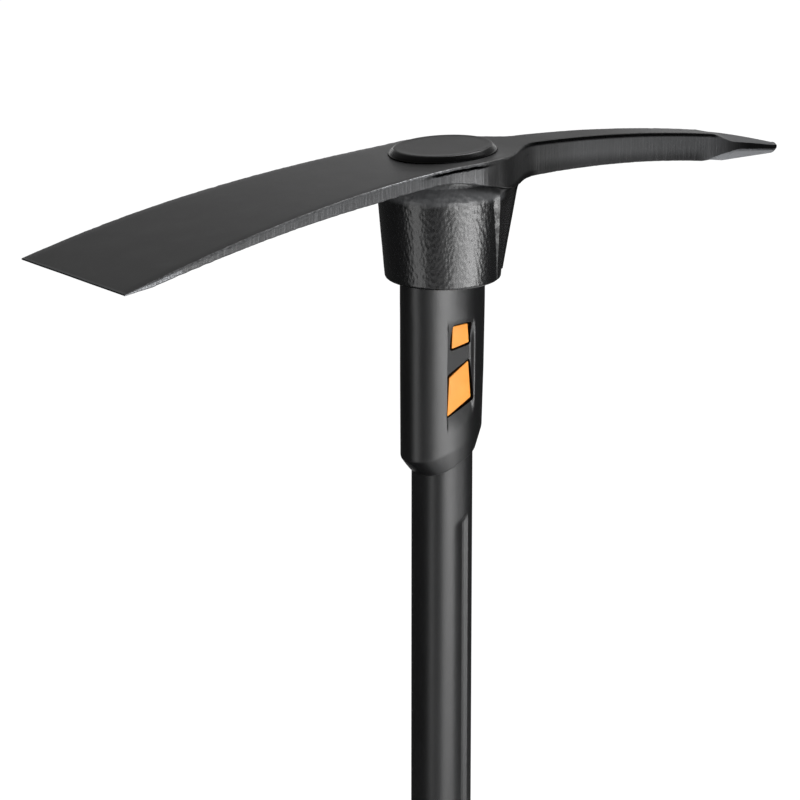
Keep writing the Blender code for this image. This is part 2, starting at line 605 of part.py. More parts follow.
def groove_outline():
    """Outline of (x, z) points of the side groove; both ends are slanted."""
    left = GROOVE_SHIFT - 0.5 * GROOVE_WIDTH
    right = GROOVE_SHIFT + 0.5 * GROOVE_WIDTH
    top = OVERALL_LENGTH - COLLAR_BOTTOM_DEPTH - GROOVE_TOP
    bottom = GRIP_TOP_HEIGHT + GROOVE_TO_GRIP
    return rounded_polygon([
        (left, top + GROOVE_SLANT * left),
        (left, bottom + GROOVE_SLANT * left),
        (right, bottom + GROOVE_SLANT * right),
        (right, top + GROOVE_SLANT * right),
    ], WINDOW_CORNER)


def make_shell(mat):
    """Outer layer of the handle, with a long flat groove on each side."""
    top = OVERALL_LENGTH + below_head(SOCKET_TOP + GAP)
    bottom = BUTT_HEIGHT + GAP
    clear = 2.0 * GAP
    rings = [
        oval(SHELL_LENGTH, SHELL_WIDTH, top, SHELL_POWER),
        oval(SHELL_LENGTH, SHELL_WIDTH, GRIP_TOP_HEIGHT, SHELL_POWER),
        oval(SEAT_LENGTH, SEAT_WIDTH, GRIP_TOP_HEIGHT, SHELL_POWER),
        oval(SEAT_LENGTH, SEAT_WIDTH, bottom, SHELL_POWER),
        oval(CORE_LENGTH + clear, CORE_WIDTH + clear, bottom),
        oval(CORE_LENGTH + clear, CORE_WIDTH + clear, top),
    ]
    shell = build("handle_shell", loft(rings, tube=True), mat)
    floor = 0.5 * SHELL_WIDTH - GROOVE_DEPTH
    for side, sign in (("near", -1), ("far", 1)):
        cutter = prism(groove_outline(), sign * floor, sign * SHELL_WIDTH)
        use_boolean(shell, build(f"{side}_groove_cutter", cutter, mat), "DIFFERENCE")
    return shell


def grip_size(z):
    """Length and width of the grip at this height: a palm swell, then a flare at the butt."""
    flare_top = BUTT_HEIGHT + GRIP_FLARE_LENGTH
    rise = smooth_step((z - flare_top) / (GRIP_TOP_HEIGHT - flare_top))
    swell = 2.0 * GRIP_SWELL * math.sin(math.pi * rise) ** 2
    flare = 1.0 - smooth_step((z - BUTT_HEIGHT) / GRIP_FLARE_LENGTH)
    return (GRIP_LENGTH + swell + 2.0 * GRIP_FLARE_X * flare,
            GRIP_WIDTH + swell + 2.0 * GRIP_FLARE_Y * flare)


def grip_ring(z, inset=0.0):
    length, width = grip_size(z)
    return oval(length - 2.0 * inset, width - 2.0 * inset, z, GRIP_POWER, sides=GRIP_SIDES)


def make_grip(mat):
    """Soft grip over the lower handle, with shallow grooves round it and a flared end."""
    top, bottom = GRIP_TOP_HEIGHT - GAP, BUTT_HEIGHT + GAP
    edge = GRIP_EDGE_ROUND
    rings = [grip_ring(top, edge), grip_ring(top - edge)]
    for k in reversed(range(GRIP_RIB_COUNT)):
        middle = GRIP_RIBS_START + k * GRIP_RIB_PITCH
        for offset, depth in ((0.5, 0.0), (0.0, GRIP_RIB_DEPTH), (-0.5, 0.0)):
            rings.append(grip_ring(middle + offset * GRIP_RIB_WIDTH, depth))
    for share in (0.95, 0.72, 0.50, 0.30, 0.12, 0.03):
        rings.append(grip_ring(BUTT_HEIGHT + share * GRIP_FLARE_LENGTH))
    rings.append(grip_ring(bottom, edge))
    seat = (SEAT_LENGTH + 2.0 * GAP, SEAT_WIDTH + 2.0 * GAP)
    rings += [oval(*seat, z, SHELL_POWER, sides=GRIP_SIDES) for z in (bottom, top)]
    return build("grip_sleeve", loft(rings, tube=True), mat)


def make_butt(mat):
    """End cap with a flat lower face and a spigot pressed into the handle shell."""
    edge = BUTT_EDGE_ROUND
    length, width = [size - 2.0 * BUTT_INSET for size in grip_size(BUTT_HEIGHT)]
    rings = [
        oval(length - 2.0 * edge, width - 2.0 * edge, 0.0, GRIP_POWER),
        oval(length - 0.6 * edge, width - 0.6 * edge, 0.3 * edge, GRIP_POWER),
        oval(length, width, edge, GRIP_POWER),
        oval(length, width, BUTT_HEIGHT - 0.3 * edge, GRIP_POWER),
        oval(length - 0.6 * edge, width - 0.6 * edge, BUTT_HEIGHT, GRIP_POWER),
        oval(CORE_LENGTH, CORE_WIDTH, BUTT_HEIGHT),
        oval(CORE_LENGTH, CORE_WIDTH, BUTT_HEIGHT + BUTT_SPIGOT_LENGTH),
    ]
    return build("butt_cap", loft(rings), mat)


def main():
    clear_scene()
    steel = make_material("black_steel", (0.030, 0.031, 0.034), 0.42, 0.55)
    cap_plastic = make_material("cap_plastic", (0.020, 0.020, 0.021), 0.45)
    orange = make_material("orange_elastomer", (0.95, 0.36, 0.03), 0.50)
    sleeve_plastic = make_material("sleeve_plastic", (0.022, 0.022, 0.024), 0.48)
    glass_rod = make_material("core_composite", (0.55, 0.50, 0.38), 0.60)
    shell_plastic = make_material("shell_plastic", (0.024, 0.024, 0.026), 0.50)
    soft_grip = make_material("soft_grip", (0.018, 0.018, 0.019), 0.72)
    butt_plastic = make_material("butt_plastic", (0.020, 0.020, 0.021), 0.55)

    eye_station = bpy.data.objects.new("eye_station", None)
    eye_station.location = (0.0, 0.0, OVERALL_LENGTH)
    bpy.context.scene.collection.objects.link(eye_station)

    make_head(steel, eye_station)
    make_cap(cap_plastic, eye_station)
    make_shock_sleeve(orange, eye_station)
    make_collar_sleeve(sleeve_plastic, eye_station)
    make_core(glass_rod, eye_station)
    make_shell(shell_plastic)
    make_grip(soft_grip)
    make_butt(butt_plastic)


main()
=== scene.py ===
import math

import bmesh
import bpy
import numpy as np
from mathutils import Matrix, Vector, noise


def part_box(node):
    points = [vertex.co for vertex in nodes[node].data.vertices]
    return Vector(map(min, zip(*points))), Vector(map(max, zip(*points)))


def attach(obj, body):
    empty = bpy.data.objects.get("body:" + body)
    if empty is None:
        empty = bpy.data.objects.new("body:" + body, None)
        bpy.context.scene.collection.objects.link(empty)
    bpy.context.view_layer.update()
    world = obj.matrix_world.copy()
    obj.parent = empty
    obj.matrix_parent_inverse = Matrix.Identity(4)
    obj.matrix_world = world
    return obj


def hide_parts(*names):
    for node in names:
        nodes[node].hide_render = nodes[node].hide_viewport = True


# Pick mattock with a black forged head, an oval eye cap, a windowed collar sleeve and a grooved handle.
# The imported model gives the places; this script gives every piece its fine shape and its finish.

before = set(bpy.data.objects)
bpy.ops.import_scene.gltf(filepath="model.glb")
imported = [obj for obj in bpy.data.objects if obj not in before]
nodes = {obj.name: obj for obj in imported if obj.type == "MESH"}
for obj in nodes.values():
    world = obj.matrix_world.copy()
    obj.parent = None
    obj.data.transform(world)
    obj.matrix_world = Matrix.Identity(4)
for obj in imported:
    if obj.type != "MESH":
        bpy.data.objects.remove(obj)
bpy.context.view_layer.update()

headLow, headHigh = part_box("head")
capLow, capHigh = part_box("eye_cap")
sleeveLow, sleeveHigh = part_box("collar_sleeve")
shellLow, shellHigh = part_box("handle_shell")
gripLow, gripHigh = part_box("grip_sleeve")
buttLow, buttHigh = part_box("butt_cap")
shockLow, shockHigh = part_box("shock_sleeve")
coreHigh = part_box("handle_core")[1]
eyeTop = capHigh.z  # depths in the head are counted down from the cap's top
headFoot = headLow.z  # depths in the sleeve and handle are counted down from here
pointLength, padInset = 0.0580, 0.0021
pointStart = headHigh.x - pointLength
padFace = 0.5 * (sleeveHigh.y - sleeveLow.y) - padInset
gap = 0.0003
# the arms' crown, plate and root, which the head's shape and its finish both follow
crownDepth, plateThick, rootHeight = 0.0033, 0.0077, 0.0197
swellFrom, swellTo = -0.0313, 0.0400


# Shader and geometry maths

def plug(tree, slot, value):
    if isinstance(value, Value):
        tree.links.new(value.socket, slot)
    else:
        slot.default_value = value


class Value:
    # a socket that adds Math nodes to its tree when it is used in arithmetic
    def __init__(self, tree, socket):
        self.tree, self.socket = tree, socket

    def calc(self, operation, *values):
        node = self.tree.nodes.new("ShaderNodeMath")
        node.operation = operation
        for slot, value in zip(node.inputs, values):
            plug(self.tree, slot, value)
        return Value(self.tree, node.outputs[0])

    def of(self, operation):
        return self.calc(operation, self)

    def __add__(self, other): return self.calc("ADD", self, other)
    def __radd__(self, other): return self.calc("ADD", other, self)
    def __sub__(self, other): return self.calc("SUBTRACT", self, other)
    def __rsub__(self, other): return self.calc("SUBTRACT", other, self)
    def __mul__(self, other): return self.calc("MULTIPLY", self, other)
    def __rmul__(self, other): return self.calc("MULTIPLY", other, self)
    def __truediv__(self, other): return self.calc("DIVIDE", self, other)
    def __rtruediv__(self, other): return self.calc("DIVIDE", other, self)
    def __pow__(self, other): return self.calc("POWER", self, other)
    def __abs__(self): return self.of("ABSOLUTE")
    def __lt__(self, other): return self.calc("LESS_THAN", self, other)
    def __gt__(self, other): return self.calc("GREATER_THAN", self, other)
    def top(self, other): return self.calc("MAXIMUM", self, other)
    def low(self, other): return self.calc("MINIMUM", self, other)
    def held(self): return self.top(0.0).low(1.0)

    def ramp(self, start, end):
        # 0 at start, 1 at end, smooth between
        t = ((self - start) / (end - start)).held()
        return t * t * (3.0 - 2.0 * t)

    def fade(self, start, end):
        return 1.0 - self.ramp(start, end)

    def band(self, rise, fall):
        # 0, then 1 after the first span, then 0 again after the second
        return self.ramp(*rise) * self.fade(*fall)


class Tree:
    # one node tree and the one method that adds a node to it
    def __init__(self, tree):
        self.tree = tree

    def node(self, kind, settings=None, values=None, out=0):
        made = self.tree.nodes.new(kind)
        for name, setting in (settings or {}).items():
            setattr(made, name, setting)
        for name, value in (values or {}).items():
            plug(self.tree, made.inputs[name], value)
        return Value(self.tree, made.outputs[out]) if len(made.outputs) else made

    def parts(self, vector):
        split = self.node("ShaderNodeSeparateXYZ", values={"Vector": vector})
        return [Value(self.tree, out) for out in split.socket.node.outputs]

    def mixColour(self, share, first, second):
        return self.node("ShaderNodeMix", {"data_type": "RGBA"}, {0: share, 6: first, 7: second}, out=2)


class Finish(Tree):
    # one Principled material that reads Object coordinates
    def __init__(self, name, specular):
        self.material = bpy.data.materials.new(name)
        self.material.use_nodes = True
        super().__init__(self.material.node_tree)
        self.shader = self.tree.nodes["Principled BSDF"]
        self.place = self.node("ShaderNodeTexCoord", out=3)
        self.shader.inputs["Specular IOR Level"].default_value = specular

    def stretched(self, x=1.0, y=1.0, z=1.0, turn=0.0):
        return self.node("ShaderNodeMapping", values={
            "Vector": self.place, "Scale": (x, y, z), "Rotation": (turn, 0.7 * turn, 1.1 * turn)})

    def grain(self, scale, detail=3.0, rough=0.55, coords=None):
        # noise from 0 to 1, features of about 1 / scale metres
        return self.node("ShaderNodeTexNoise", values={
            "Vector": coords or self.place, "Scale": scale, "Detail": detail, "Roughness": rough})

    def cells(self, scale, coords=None):
        return self.node("ShaderNodeTexVoronoi", {"feature": "SMOOTH_F1"}, {
            "Vector": coords or self.place, "Scale": scale, "Smoothness": 0.6})

    def set(self, colour=None, roughness=None, metallic=None, relief=None, depth=0.0001, strength=1.0):
        for slot, value in (("Base Color", colour), ("Roughness", roughness), ("Metallic", metallic)):
            if value is not None:
                plug(self.tree, self.shader.inputs[slot], value)
        if relief is not None:
            bump = self.node("ShaderNodeBump", values={
                "Height": relief, "Distance": depth, "Strength": strength})
            self.tree.links.new(bump.socket, self.shader.inputs["Normal"])
        return self.material


def grey(value):
    return (value, value * 1.02, value * 1.06, 1.0)


# Finishes

steelLook = {
    # greys of the coat, of the places partly worn and partly painted lighter as painted light, of the bare
    # places, of the neck's painted light and of the painted shade, and the roughness of each area
    "paint": 0.006, "wearAndPaintedLight": 0.085, "bare": 0.15, "edge": 0.34, "pointBare": 0.18, "neck": 0.050,
    "paintedShade": 0.0015, "collarRough": 0.26, "neckRough": 0.14, "armRough": 0.38, "groundRough": 0.36,
    "relief": 0.00030,
    # the fall of the arms' upper side: depth is this times x squared
    "curve": 0.476,
    # soft spans along the head, from the eye's axis
    "collar": ((-0.042, -0.036), (0.048, 0.058)), "bladeEnd": (-0.005, 0.007),
    "rubbed": ((-0.090, -0.055), (-0.030, -0.012)), "paleBlade": (-0.20, -0.08), "palePick": (0.058, 0.095),
    "lens": ((-0.046, -0.026), (-0.004, 0.014)), "under": (0.034, 0.056), "sole": (0.044, 0.066),
    "root": ((0.012, 0.020), (0.050, 0.072)), "joint": ((-0.034, -0.028), (0.020, 0.034)),
    "duller": ((0.010, 0.045), (0.110, 0.180)),
    # from the cutting edge, and from where the point starts
    "bevel": (0.0340, 0.0375), "edgeLine": (0.0008, 0.0016),
    "facet": (-0.004, 0.004), "upperFacet": (0.008, 0.020), "pointSide": (0.0, 0.034),
    "underEnd": (0.002, 0.010), "soleEnd": (-0.012, 0.0),
    # down from the upper side, from the underside, and from the cap's top
    "lensDrop": ((0.0012, 0.0016), (0.0024, 0.0032)), "underDrop": ((0.0001, 0.0005), (0.0018, 0.0030)),
    "soleDrop": (0.0085, 0.0155), "collarTop": (-0.0002, 0.0006), "neckTop": (0.0010, 0.0050),
    "jointDrop": ((-0.0002, 0.0004), (0.0008, 0.0050)), "neckEnd": (0.0225, 0.0265),
    "rootDepth": ((0.0185, 0.0215), (0.0260, 0.0320)), "gussetLean": 0.30, "gussetEdge": (-0.0010, 0.0010),
    # how far a face looks up or down
    "upright": (0.35, 0.75), "groundFacing": (0.25, 0.55), "rimFacing": ((0.22, 0.40), (0.86, 0.97)),
    "lowerFacing": (0.10, 0.30), "upperFacing": (0.15, 0.40), "underFacing": (0.88, 0.97), "rimY": 0.026,
}


def blackForgedSteel():
    s = steelLook
    f = Finish("blackForgedSteel", specular=0.62)
    x, y, z = f.parts(f.place)
    fromEdge, fromPoint, depth = x - headLow.x, x - pointStart, eyeTop - z
    drop = depth - crownDepth - x * x * s["curve"]
    below = depth - crownDepth - plateThick - (rootHeight - plateThick) * x.ramp(swellFrom, swellTo)
    up = f.parts(f.node("ShaderNodeNewGeometry", out=1))[2]
    side, blade = abs(up).fade(*s["upright"]), x.fade(*s["bladeEnd"])
    # the collar and gusset are rough from the die, the arms are smoother
    collar = below.ramp(*s["collarTop"]) * x.band(*s["collar"])
    arms = 1.0 - collar
    streaks = f.grain(430.0, 3.0, 0.55, f.stretched(1.0, 1.0, 0.62, 0.55))
    pits = f.cells(640.0, f.stretched(1.0, 1.0, 0.6, 0.55))
    fine = f.grain(1500.0, 2.0)
    cloud = f.grain(45.0, 3.0)
    sheared = f.grain(900.0, 2.0, 0.6, f.stretched(1.0, 0.06, 0.06)).ramp(0.4, 0.8)
    # bare ground steel on the bevel under the cutting edge and on the blade's sides beside it
    ground = fromEdge.fade(*s["bevel"]) * up.fade(*s["groundFacing"])
    ground = ground.top(fromEdge.fade(*s["edgeLine"]) * 0.8)
    scratches = f.grain(1400.0, 3.0, 0.7, f.stretched(1.0, 0.05, 1.0))
    # the sheared upper corner of the blade is rubbed bright here and there
    nicked = f.grain(900.0, 4.0, 0.75, f.stretched(0.7, 0.4, 0.4)).ramp(0.30, 0.62)
    rim = up.band(*s["rimFacing"]) * (abs(y) > s["rimY"]) * arms * blade
    rubbed = rim * nicked * (0.35 + 0.65 * x.band(*s["rubbed"]))
    facet = fromPoint.ramp(*s["facet"]) * (0.0 - up).ramp(*s["lowerFacing"])
    facet = facet + 0.55 * fromPoint.ramp(*s["upperFacet"]) * up.ramp(*s["upperFacing"])
    # partly wear, partly painted light: the sheared streaks and cloudy tone are wear; the upright sides,
    # the pick's sides and the blade towards the eye are painted lighter as painted light
    wearAndPaintedLight = side * ((0.24 + sheared * 0.55) * blade + (0.31 + sheared * 0.10) * x.ramp(*s["palePick"]))
    wearAndPaintedLight = wearAndPaintedLight + cloud.ramp(0.55, 0.75) * 0.15 + 0.12 * x.ramp(*s["paleBlade"]) * blade
    wearAndPaintedLight = wearAndPaintedLight * arms
    # painted shade: the creases under the long upper edge, along the pick's sole and root,
    # round the neck's top and on the narrow sides of the point are painted near black, and their reflection
    # is taken out
    lens = x.band(*s["lens"]) * drop.band(*s["lensDrop"])
    under = x.ramp(*s["under"]) * fromPoint.fade(*s["underEnd"])
    under = under * drop.band(*s["underDrop"]) * up.fade(*s["underFacing"])
    point = fromPoint.ramp(*s["pointSide"]) * side
    sole = x.ramp(*s["sole"]) * fromPoint.fade(*s["soleEnd"]) * drop.ramp(*s["soleDrop"]) * side
    root = x.band(*s["root"]) * depth.band(*s["rootDepth"])
    joint = x.band(*s["joint"]) * below.band(*s["jointDrop"])
    paintedShade = lens.top(under).top(point * 0.85).top(sole * 0.55).top(root * 0.75).top(joint * 0.55)
    # painted light: the collar's neck is painted a lighter grey, fading darker close under the plate as
    # painted shade
    neck = depth.fade(*s["neckEnd"]) * (0.3 + 0.7 * below.ramp(*s["neckTop"]))
    bare = f.mixColour(scratches, grey(s["bare"] * 0.6), grey(s["bare"]))
    colour = f.mixColour(wearAndPaintedLight, grey(s["paint"]), grey(s["wearAndPaintedLight"]))
    for mask, paint in ((collar * neck, grey(s["neck"])), (ground, bare), (rubbed, grey(s["edge"])),
                        (facet, grey(s["pointBare"])), (paintedShade, grey(s["paintedShade"]))):
        colour = f.mixColour(mask, colour, paint)
    rough = s["armRough"] + 0.10 * (cloud - 0.5) + 0.06 * (fine - 0.5) + 0.15 * x.band(*s["duller"])
    collarRough = s["collarRough"] + s["neckRough"] * neck + 0.12 * (fine - 0.5)
    rough = rough * arms + collarRough * collar
    rough = rough * (1.0 - ground) + s["groundRough"] * ground
    gusset = (x - s["gussetLean"] * depth).ramp(*s["gussetEdge"])
    relief = collar * (1.0 - 0.8 * gusset) * (streaks * 0.30 + pits * 0.50)
    relief = relief + arms * (fine * 0.08 + cloud * 0.12)
    relief = relief + side * arms * sheared * 0.25 + ground * scratches * 0.12
    return f.set(colour, rough, ground.top(rubbed).top(paintedShade), relief, depth=s["relief"], strength=0.8)


capLook = {
    "dark": 0.003, "pale": 0.005, "rough": 0.24, "topRough": 0.18,
    "top": (0.80, 0.97), "wall": (0.70, 0.88),  # how far a face looks up
}


def capPlastic():
    s = capLook
    f = Finish("capPlastic", specular=0.42)
    fine = f.grain(2600.0, 2.0)
    cloud = f.grain(60.0, 3.0)
    colour = f.mixColour(cloud.ramp(0.4, 0.7), grey(s["dark"]), grey(s["pale"]))
    up = f.parts(f.node("ShaderNodeNewGeometry", out=1))[2]
    rough = s["rough"] + s["topRough"] * up.ramp(*s["top"]) + 0.06 * (cloud - 0.5) + 0.06 * (fine - 0.5)
    # painted shade: the side wall is made a near-black metal without reflection, so that it stays dark
    return f.set(colour, rough, 0.85 * up.fade(*s["wall"]), fine, depth=0.00004)


def mouldedPlastic(name, tone, rough, drawn=1.0):
    # satin black plastic with a spark-eroded grain, a little longer along the handle
    f = Finish(name, specular=0.45)
    fine = f.grain(2400.0, 2.0, 0.6, f.stretched(1.0, 1.0, drawn))
    cloud = f.grain(40.0, 3.0, 0.5, f.stretched(1.0, 1.0, 0.35))
    scuffs = f.grain(300.0, 4.0, 0.7, f.stretched(1.0, 1.0, 0.10)).ramp(0.62, 0.72)
    colour = f.mixColour(cloud.ramp(0.35, 0.7), grey(tone), grey(tone * 1.45))
    colour = f.mixColour(scuffs * 0.30, colour, grey(tone * 3.0))
    return f.set(colour, rough + 0.10 * (cloud - 0.5) + 0.10 * (fine - 0.5), relief=fine, depth=0.00006)


orangeLook = {
    "deep": (0.87, 0.305, 0.038, 1.0), "pale": (0.94, 0.362, 0.058, 1.0),
    "paintedGapShade": (0.030, 0.012, 0.004, 1.0), "gapShadeFrom": 0.0007, "gapShadeTo": 0.00015,
}


def orangeElastomer():
    s = orangeLook
    f = Finish("orangeElastomer", specular=0.35)
    fine = f.grain(2800.0, 2.0)
    cloud = f.grain(130.0, 3.0)
    # painted shade: the orange below each pad's face, in the gap round it, is painted near black
    sunk = abs(f.parts(f.place)[1]).fade(padFace - s["gapShadeFrom"], padFace - s["gapShadeTo"])
    colour = f.mixColour(sunk * 0.97, f.mixColour(cloud, s["deep"], s["pale"]), s["paintedGapShade"])
    return f.set(colour, 0.48 + 0.08 * (cloud - 0.5), relief=fine, depth=0.00005)


def softGripRubber():
    f = Finish("softGripRubber", specular=0.3)
    weave = f.cells(900.0)
    fine = f.grain(2600.0, 2.0)
    dust = f.grain(70.0, 5.0, 0.65).ramp(0.5, 0.75)
    colour = f.mixColour(dust * 0.5, grey(0.011), grey(0.028))
    return f.set(colour, 0.66 + 0.10 * dust, relief=weave * 0.8 + fine * 0.3, depth=0.00012)


def fibreRod():
    # drawn glass fibre: long pale strands in amber resin
    f = Finish("fibreRod", specular=0.5)
    strands = f.grain(1700.0, 3.0, 0.6, f.stretched(1.0, 1.0, 0.012))
    colour = f.mixColour(strands.ramp(0.3, 0.7), (0.34, 0.27, 0.15, 1.0), (0.66, 0.60, 0.46, 1.0))
    return f.set(colour, 0.45 + 0.2 * (strands - 0.5), relief=strands, depth=0.00005)


finishes = {
    "steel": blackForgedSteel(),
    "cap": capPlastic(),
    "orange": orangeElastomer(),
    "sleeve": mouldedPlastic("sleevePlastic", 0.006, 0.32),
    "shell": mouldedPlastic("shellPlastic", 0.007, 0.38, 0.25),
    "grip": softGripRubber(),
    "butt": mouldedPlastic("buttPlastic", 0.012, 0.48),
    "core": fibreRod(),
}
print("finishes made:", len(finishes))


# Mesh tools

def blend(a, b, t):
    return a + (b - a) * t


def eased(t):
    t = min(max(t, 0.0), 1.0)
    return t * t * (3.0 - 2.0 * t)


def mixedSize(first, second, t):
    return tuple(blend(a, b, t) for a, b in zip(first, second))


def footprint(low, high):
    # length and width of a box
    return high.x - low.x, high.y - low.y


def wider(size, x, y=None):
    # a length and width with a wall added all round
    return size[0] + 2.0 * x, size[1] + 2.0 * (x if y is None else y)


def linked(name, data):
    obj = bpy.data.objects.new(name, data)
    bpy.context.scene.collection.objects.link(obj)
    return obj


def hump(x, start, rise, end, fall):
    # 0 at start, 1 after the rise, 0 again at the end, with a fall before it
    return eased((x - start) / rise) * eased((end - x) / fall)


def pressedIn(point, floorY, share):
    # a point moved towards a flat floor on its own side of the middle
    x, y, z = point
    if share <= 0.0 or abs(y) <= floorY:
        return point
    return x, math.copysign(blend(abs(y), floorY, share), y), z


def quarter(steps):
    # cosine and sine along a quarter turn, for roundings
    turns = [0.5 * math.pi * k / steps for k in range(steps + 1)]
    return [(math.cos(turn), math.sin(turn)) for turn in turns]


def cornerCurve(start, corner, end, steps):
    shares = [k / steps for k in range(steps + 1)]
    return [(1 - t) ** 2 * start + 2 * t * (1 - t) * corner + t * t * end for t in shares]


def ovalRing(length, width, z, power=2.0, slant=0.0, shift=0.0, sides=144):
    # points spread evenly round a superellipse
    turn = np.linspace(0.0, 2.0 * math.pi, 1441)
    c, s = np.cos(turn), np.sin(turn)
    x = 0.5 * length * np.sign(c) * np.abs(c) ** (2.0 / power)
    y = 0.5 * width * np.sign(s) * np.abs(s) ** (2.0 / power)
    walked = np.concatenate(([0.0], np.cumsum(np.hypot(np.diff(x), np.diff(y)))))
    places = np.linspace(0.0, walked[-1], sides, endpoint=False)
    x, y = np.interp(places, walked, x), np.interp(places, walked, y)
    return [(px + shift, py, z + slant * (px + shift)) for px, py in zip(x, y)]


def station(size, z, power=2.0, slant=0.0, shift=0.0, rounding=0.0):
    # one section of a piece that ringsAlong makes; power 2 is an ellipse, more is squarer
    return (*size, z, power, slant, shift, rounding)


def ringsAlong(stations, spacing, sides=144):
    # rings through the stations, with rounded corners
    rows = [np.array(entry[:6]) for entry in stations]

    def reach(a, b):
        return math.hypot(0.5 * max(abs(b[0] - a[0]), abs(b[1] - a[1])), b[2] - a[2])

    path = [rows[0]]
    for i in range(1, len(rows) - 1):
        before, here, after = rows[i - 1], rows[i], rows[i + 1]
        rounding = stations[i][6]
        if rounding <= 0.0:
            path.append(here)
            continue
        start = here + (before - here) * min(0.49, rounding / reach(before, here))
        end = here + (after - here) * min(0.49, rounding / reach(here, after))
        path += cornerCurve(start, here, end, 6)
    path.append(rows[-1])
    rings = [ovalRing(*path[0], sides=sides)]
    for a, b in zip(path, path[1:]):
        steps = max(1, math.ceil(reach(a, b) / spacing))
        rings += [ovalRing(*(a + (b - a) * k / steps), sides=sides) for k in range(1, steps + 1)]
    return rings


def roundedOutline(corners, radius, steps=5):
    # (x, z) corners joined by arcs, drawn as short curves
    points = []
    for i, corner in enumerate(corners):
        here, before = Vector(corner), Vector(corners[i - 1])
        after = Vector(corners[(i + 1) % len(corners)])
        start = here + (before - here).normalized() * radius
        end = here + (after - here).normalized() * radius
        points += cornerCurve(start, here, end, steps)
    return points


def windowPlug(name, outline, inner, outer, edge=0.0):
    # a solid from an (x, z) outline, between two y depths; the outer end may have a soft edge
    middle = sum(outline, Vector((0.0, 0.0))) / len(outline)
    towards = math.copysign(1.0, outer - inner)
    rings = [[(p.x, inner, p.y) for p in outline]]
    for cosine, sine in quarter(4)[:None if edge else 1]:
        back, shrink = edge * (1.0 - sine), edge * (1.0 - cosine)
        ring = []
        for p in outline:
            q = p + (middle - p).normalized() * shrink
            ring.append((q.x, outer - towards * back, q.y))
        rings.append(ring)
    return skinned(name, rings)


def skinned(name, rings, ends="capped", ringed=True):
    # one mesh through the rings: capped, joined end to end as a tube, or open as a sheet
    bm = bmesh.new()
    rows = [[bm.verts.new(point) for point in ring] for ring in rings]
    count = len(rows[0])
    for low, high in zip(rows, rows[1:] + (rows[:1] if ends == "tube" else [])):
        for i in range(count if ringed else count - 1):
            j = (i + 1) % count
            bm.faces.new((low[i], low[j], high[j], high[i]))
    if ends == "capped":
        bm.faces.new(rows[0])
        bm.faces.new(rows[-1])
    if ends != "open":
        bmesh.ops.recalc_face_normals(bm, faces=bm.faces)
    mesh = bpy.data.meshes.new(name)
    bm.to_mesh(mesh)
    bm.free()
    return linked(name, mesh)


def combined(obj, others, bevel=None):
    # booleans in turn, then an edge rounding, made one plain mesh
    for other, operation in others:
        cut = obj.modifiers.new(other.name, "BOOLEAN")
        cut.operation, cut.solver, cut.object = operation, "EXACT", other
    if bevel:
        rounding = obj.modifiers.new("rounding", "BEVEL")
        rounding.width, rounding.segments = bevel["width"], bevel["segments"]
        rounding.limit_method, rounding.angle_limit = "ANGLE", math.radians(bevel["angle"])
        rounding.use_clamp_overlap = True
    bpy.context.view_layer.update()
    evaluated = obj.evaluated_get(bpy.context.evaluated_depsgraph_get())
    mesh = bpy.data.meshes.new_from_object(evaluated)
    name = obj.name
    obj.name = name + "Form"
    made = linked(name, mesh)
    for old in [obj] + [other for other, _ in others]:
        bpy.data.objects.remove(old)
    return made


def finished(obj, finish, node, sharp=30):
    mesh = obj.data
    mesh.materials.clear()
    mesh.materials.append(finishes[finish])
    mesh.shade_smooth()
    mesh.set_sharp_from_angle(angle=math.radians(sharp))
    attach(obj, "root")
    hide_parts(node)
    print(obj.name, "faces:", len(mesh.polygons))
    return obj


# Camera, set to the photograph's viewpoint

cameraSetup = {
    "place": (-1.3732, -1.6365, 1.4253),
    "aim": (-0.0174, 0.0146, 0.7730),
    "lens": 186.5,
    "sensor": 36.0,
}


def makeCamera(s):
    data = bpy.data.cameras.new("camera")
    data.lens, data.sensor_width = s["lens"], s["sensor"]
    data.clip_start, data.clip_end = 0.05, 200.0
    camera = linked("camera", data)
    camera.location = s["place"]
    camera.rotation_euler = (Vector(s["aim"]) - Vector(s["place"])).to_track_quat("-Z", "Y").to_euler()
    bpy.context.scene.camera = camera


makeCamera(cameraSetup)


# Forged head: arms, collar and gusset

headShape = {
    "plateWidth": 0.0644, "blendFrom": 0.0125, "blendTo": 0.0580,
    "pickRootWidth": 0.0192, "pickEndWidth": 0.0150,
    "bladeArc": 1.077, "pickArc": 1.025, "taperX": -0.0756,
    "edgeThick": 0.0008, "bevelLength": 0.0175, "heelThick": 0.0033,
    "endHeight": 0.0159, "belly": 0.0012, "ridgeBend": 1.18, "soleSlope": 0.04,
    "facetSlope": 0.56, "facetRun": 0.0215, "soleSteep": 1.15, "soleLead": 0.0070, "soleRun": 0.0330,
    "tipWidth": 0.0044, "tipHeight": 0.0064, "tipDepth": 0.0349, "tipBend": 1.25,
    "noseLength": 0.0040, "noseEnd": 0.25, "noseSteps": 8,
    "corner": 0.0012, "pickCorner": 0.0013, "cornerFrom": 0.020, "cornerRun": 0.030, "ragged": 0.0006,
    # the eye is a little full, and the upper edge overhangs: amount, then start, rise, end and fall along x
    "bulge": 0.0030, "bulgeSpan": (-0.022, 0.024, 0.016, 0.016),
    "fold": 0.0014, "foldSpan": (-0.044, 0.018, 0.012, 0.014),
    "pickFold": 0.0003, "pickFoldSpan": (0.040, 0.020, pointStart + 0.004, 0.010),
    "foldDrops": ((0.0002, 1.0), (0.0009, 1.0), (0.0018, 0.0)), "foldRoom": 0.0040,
    "stations": 420, "across": 16, "arc": 5, "ripple": 0.00006,
}
bladeReach, pickReach = -headLow.x, headHigh.x
edgeWidth = headHigh.y - headLow.y
noseX = pickReach - headShape["noseLength"]


def armTop(x):
    s = headShape
    radius = s["pickArc"] if x > 0.0 else s["bladeArc"]
    return -(crownDepth + radius - math.sqrt(radius ** 2 - x * x))


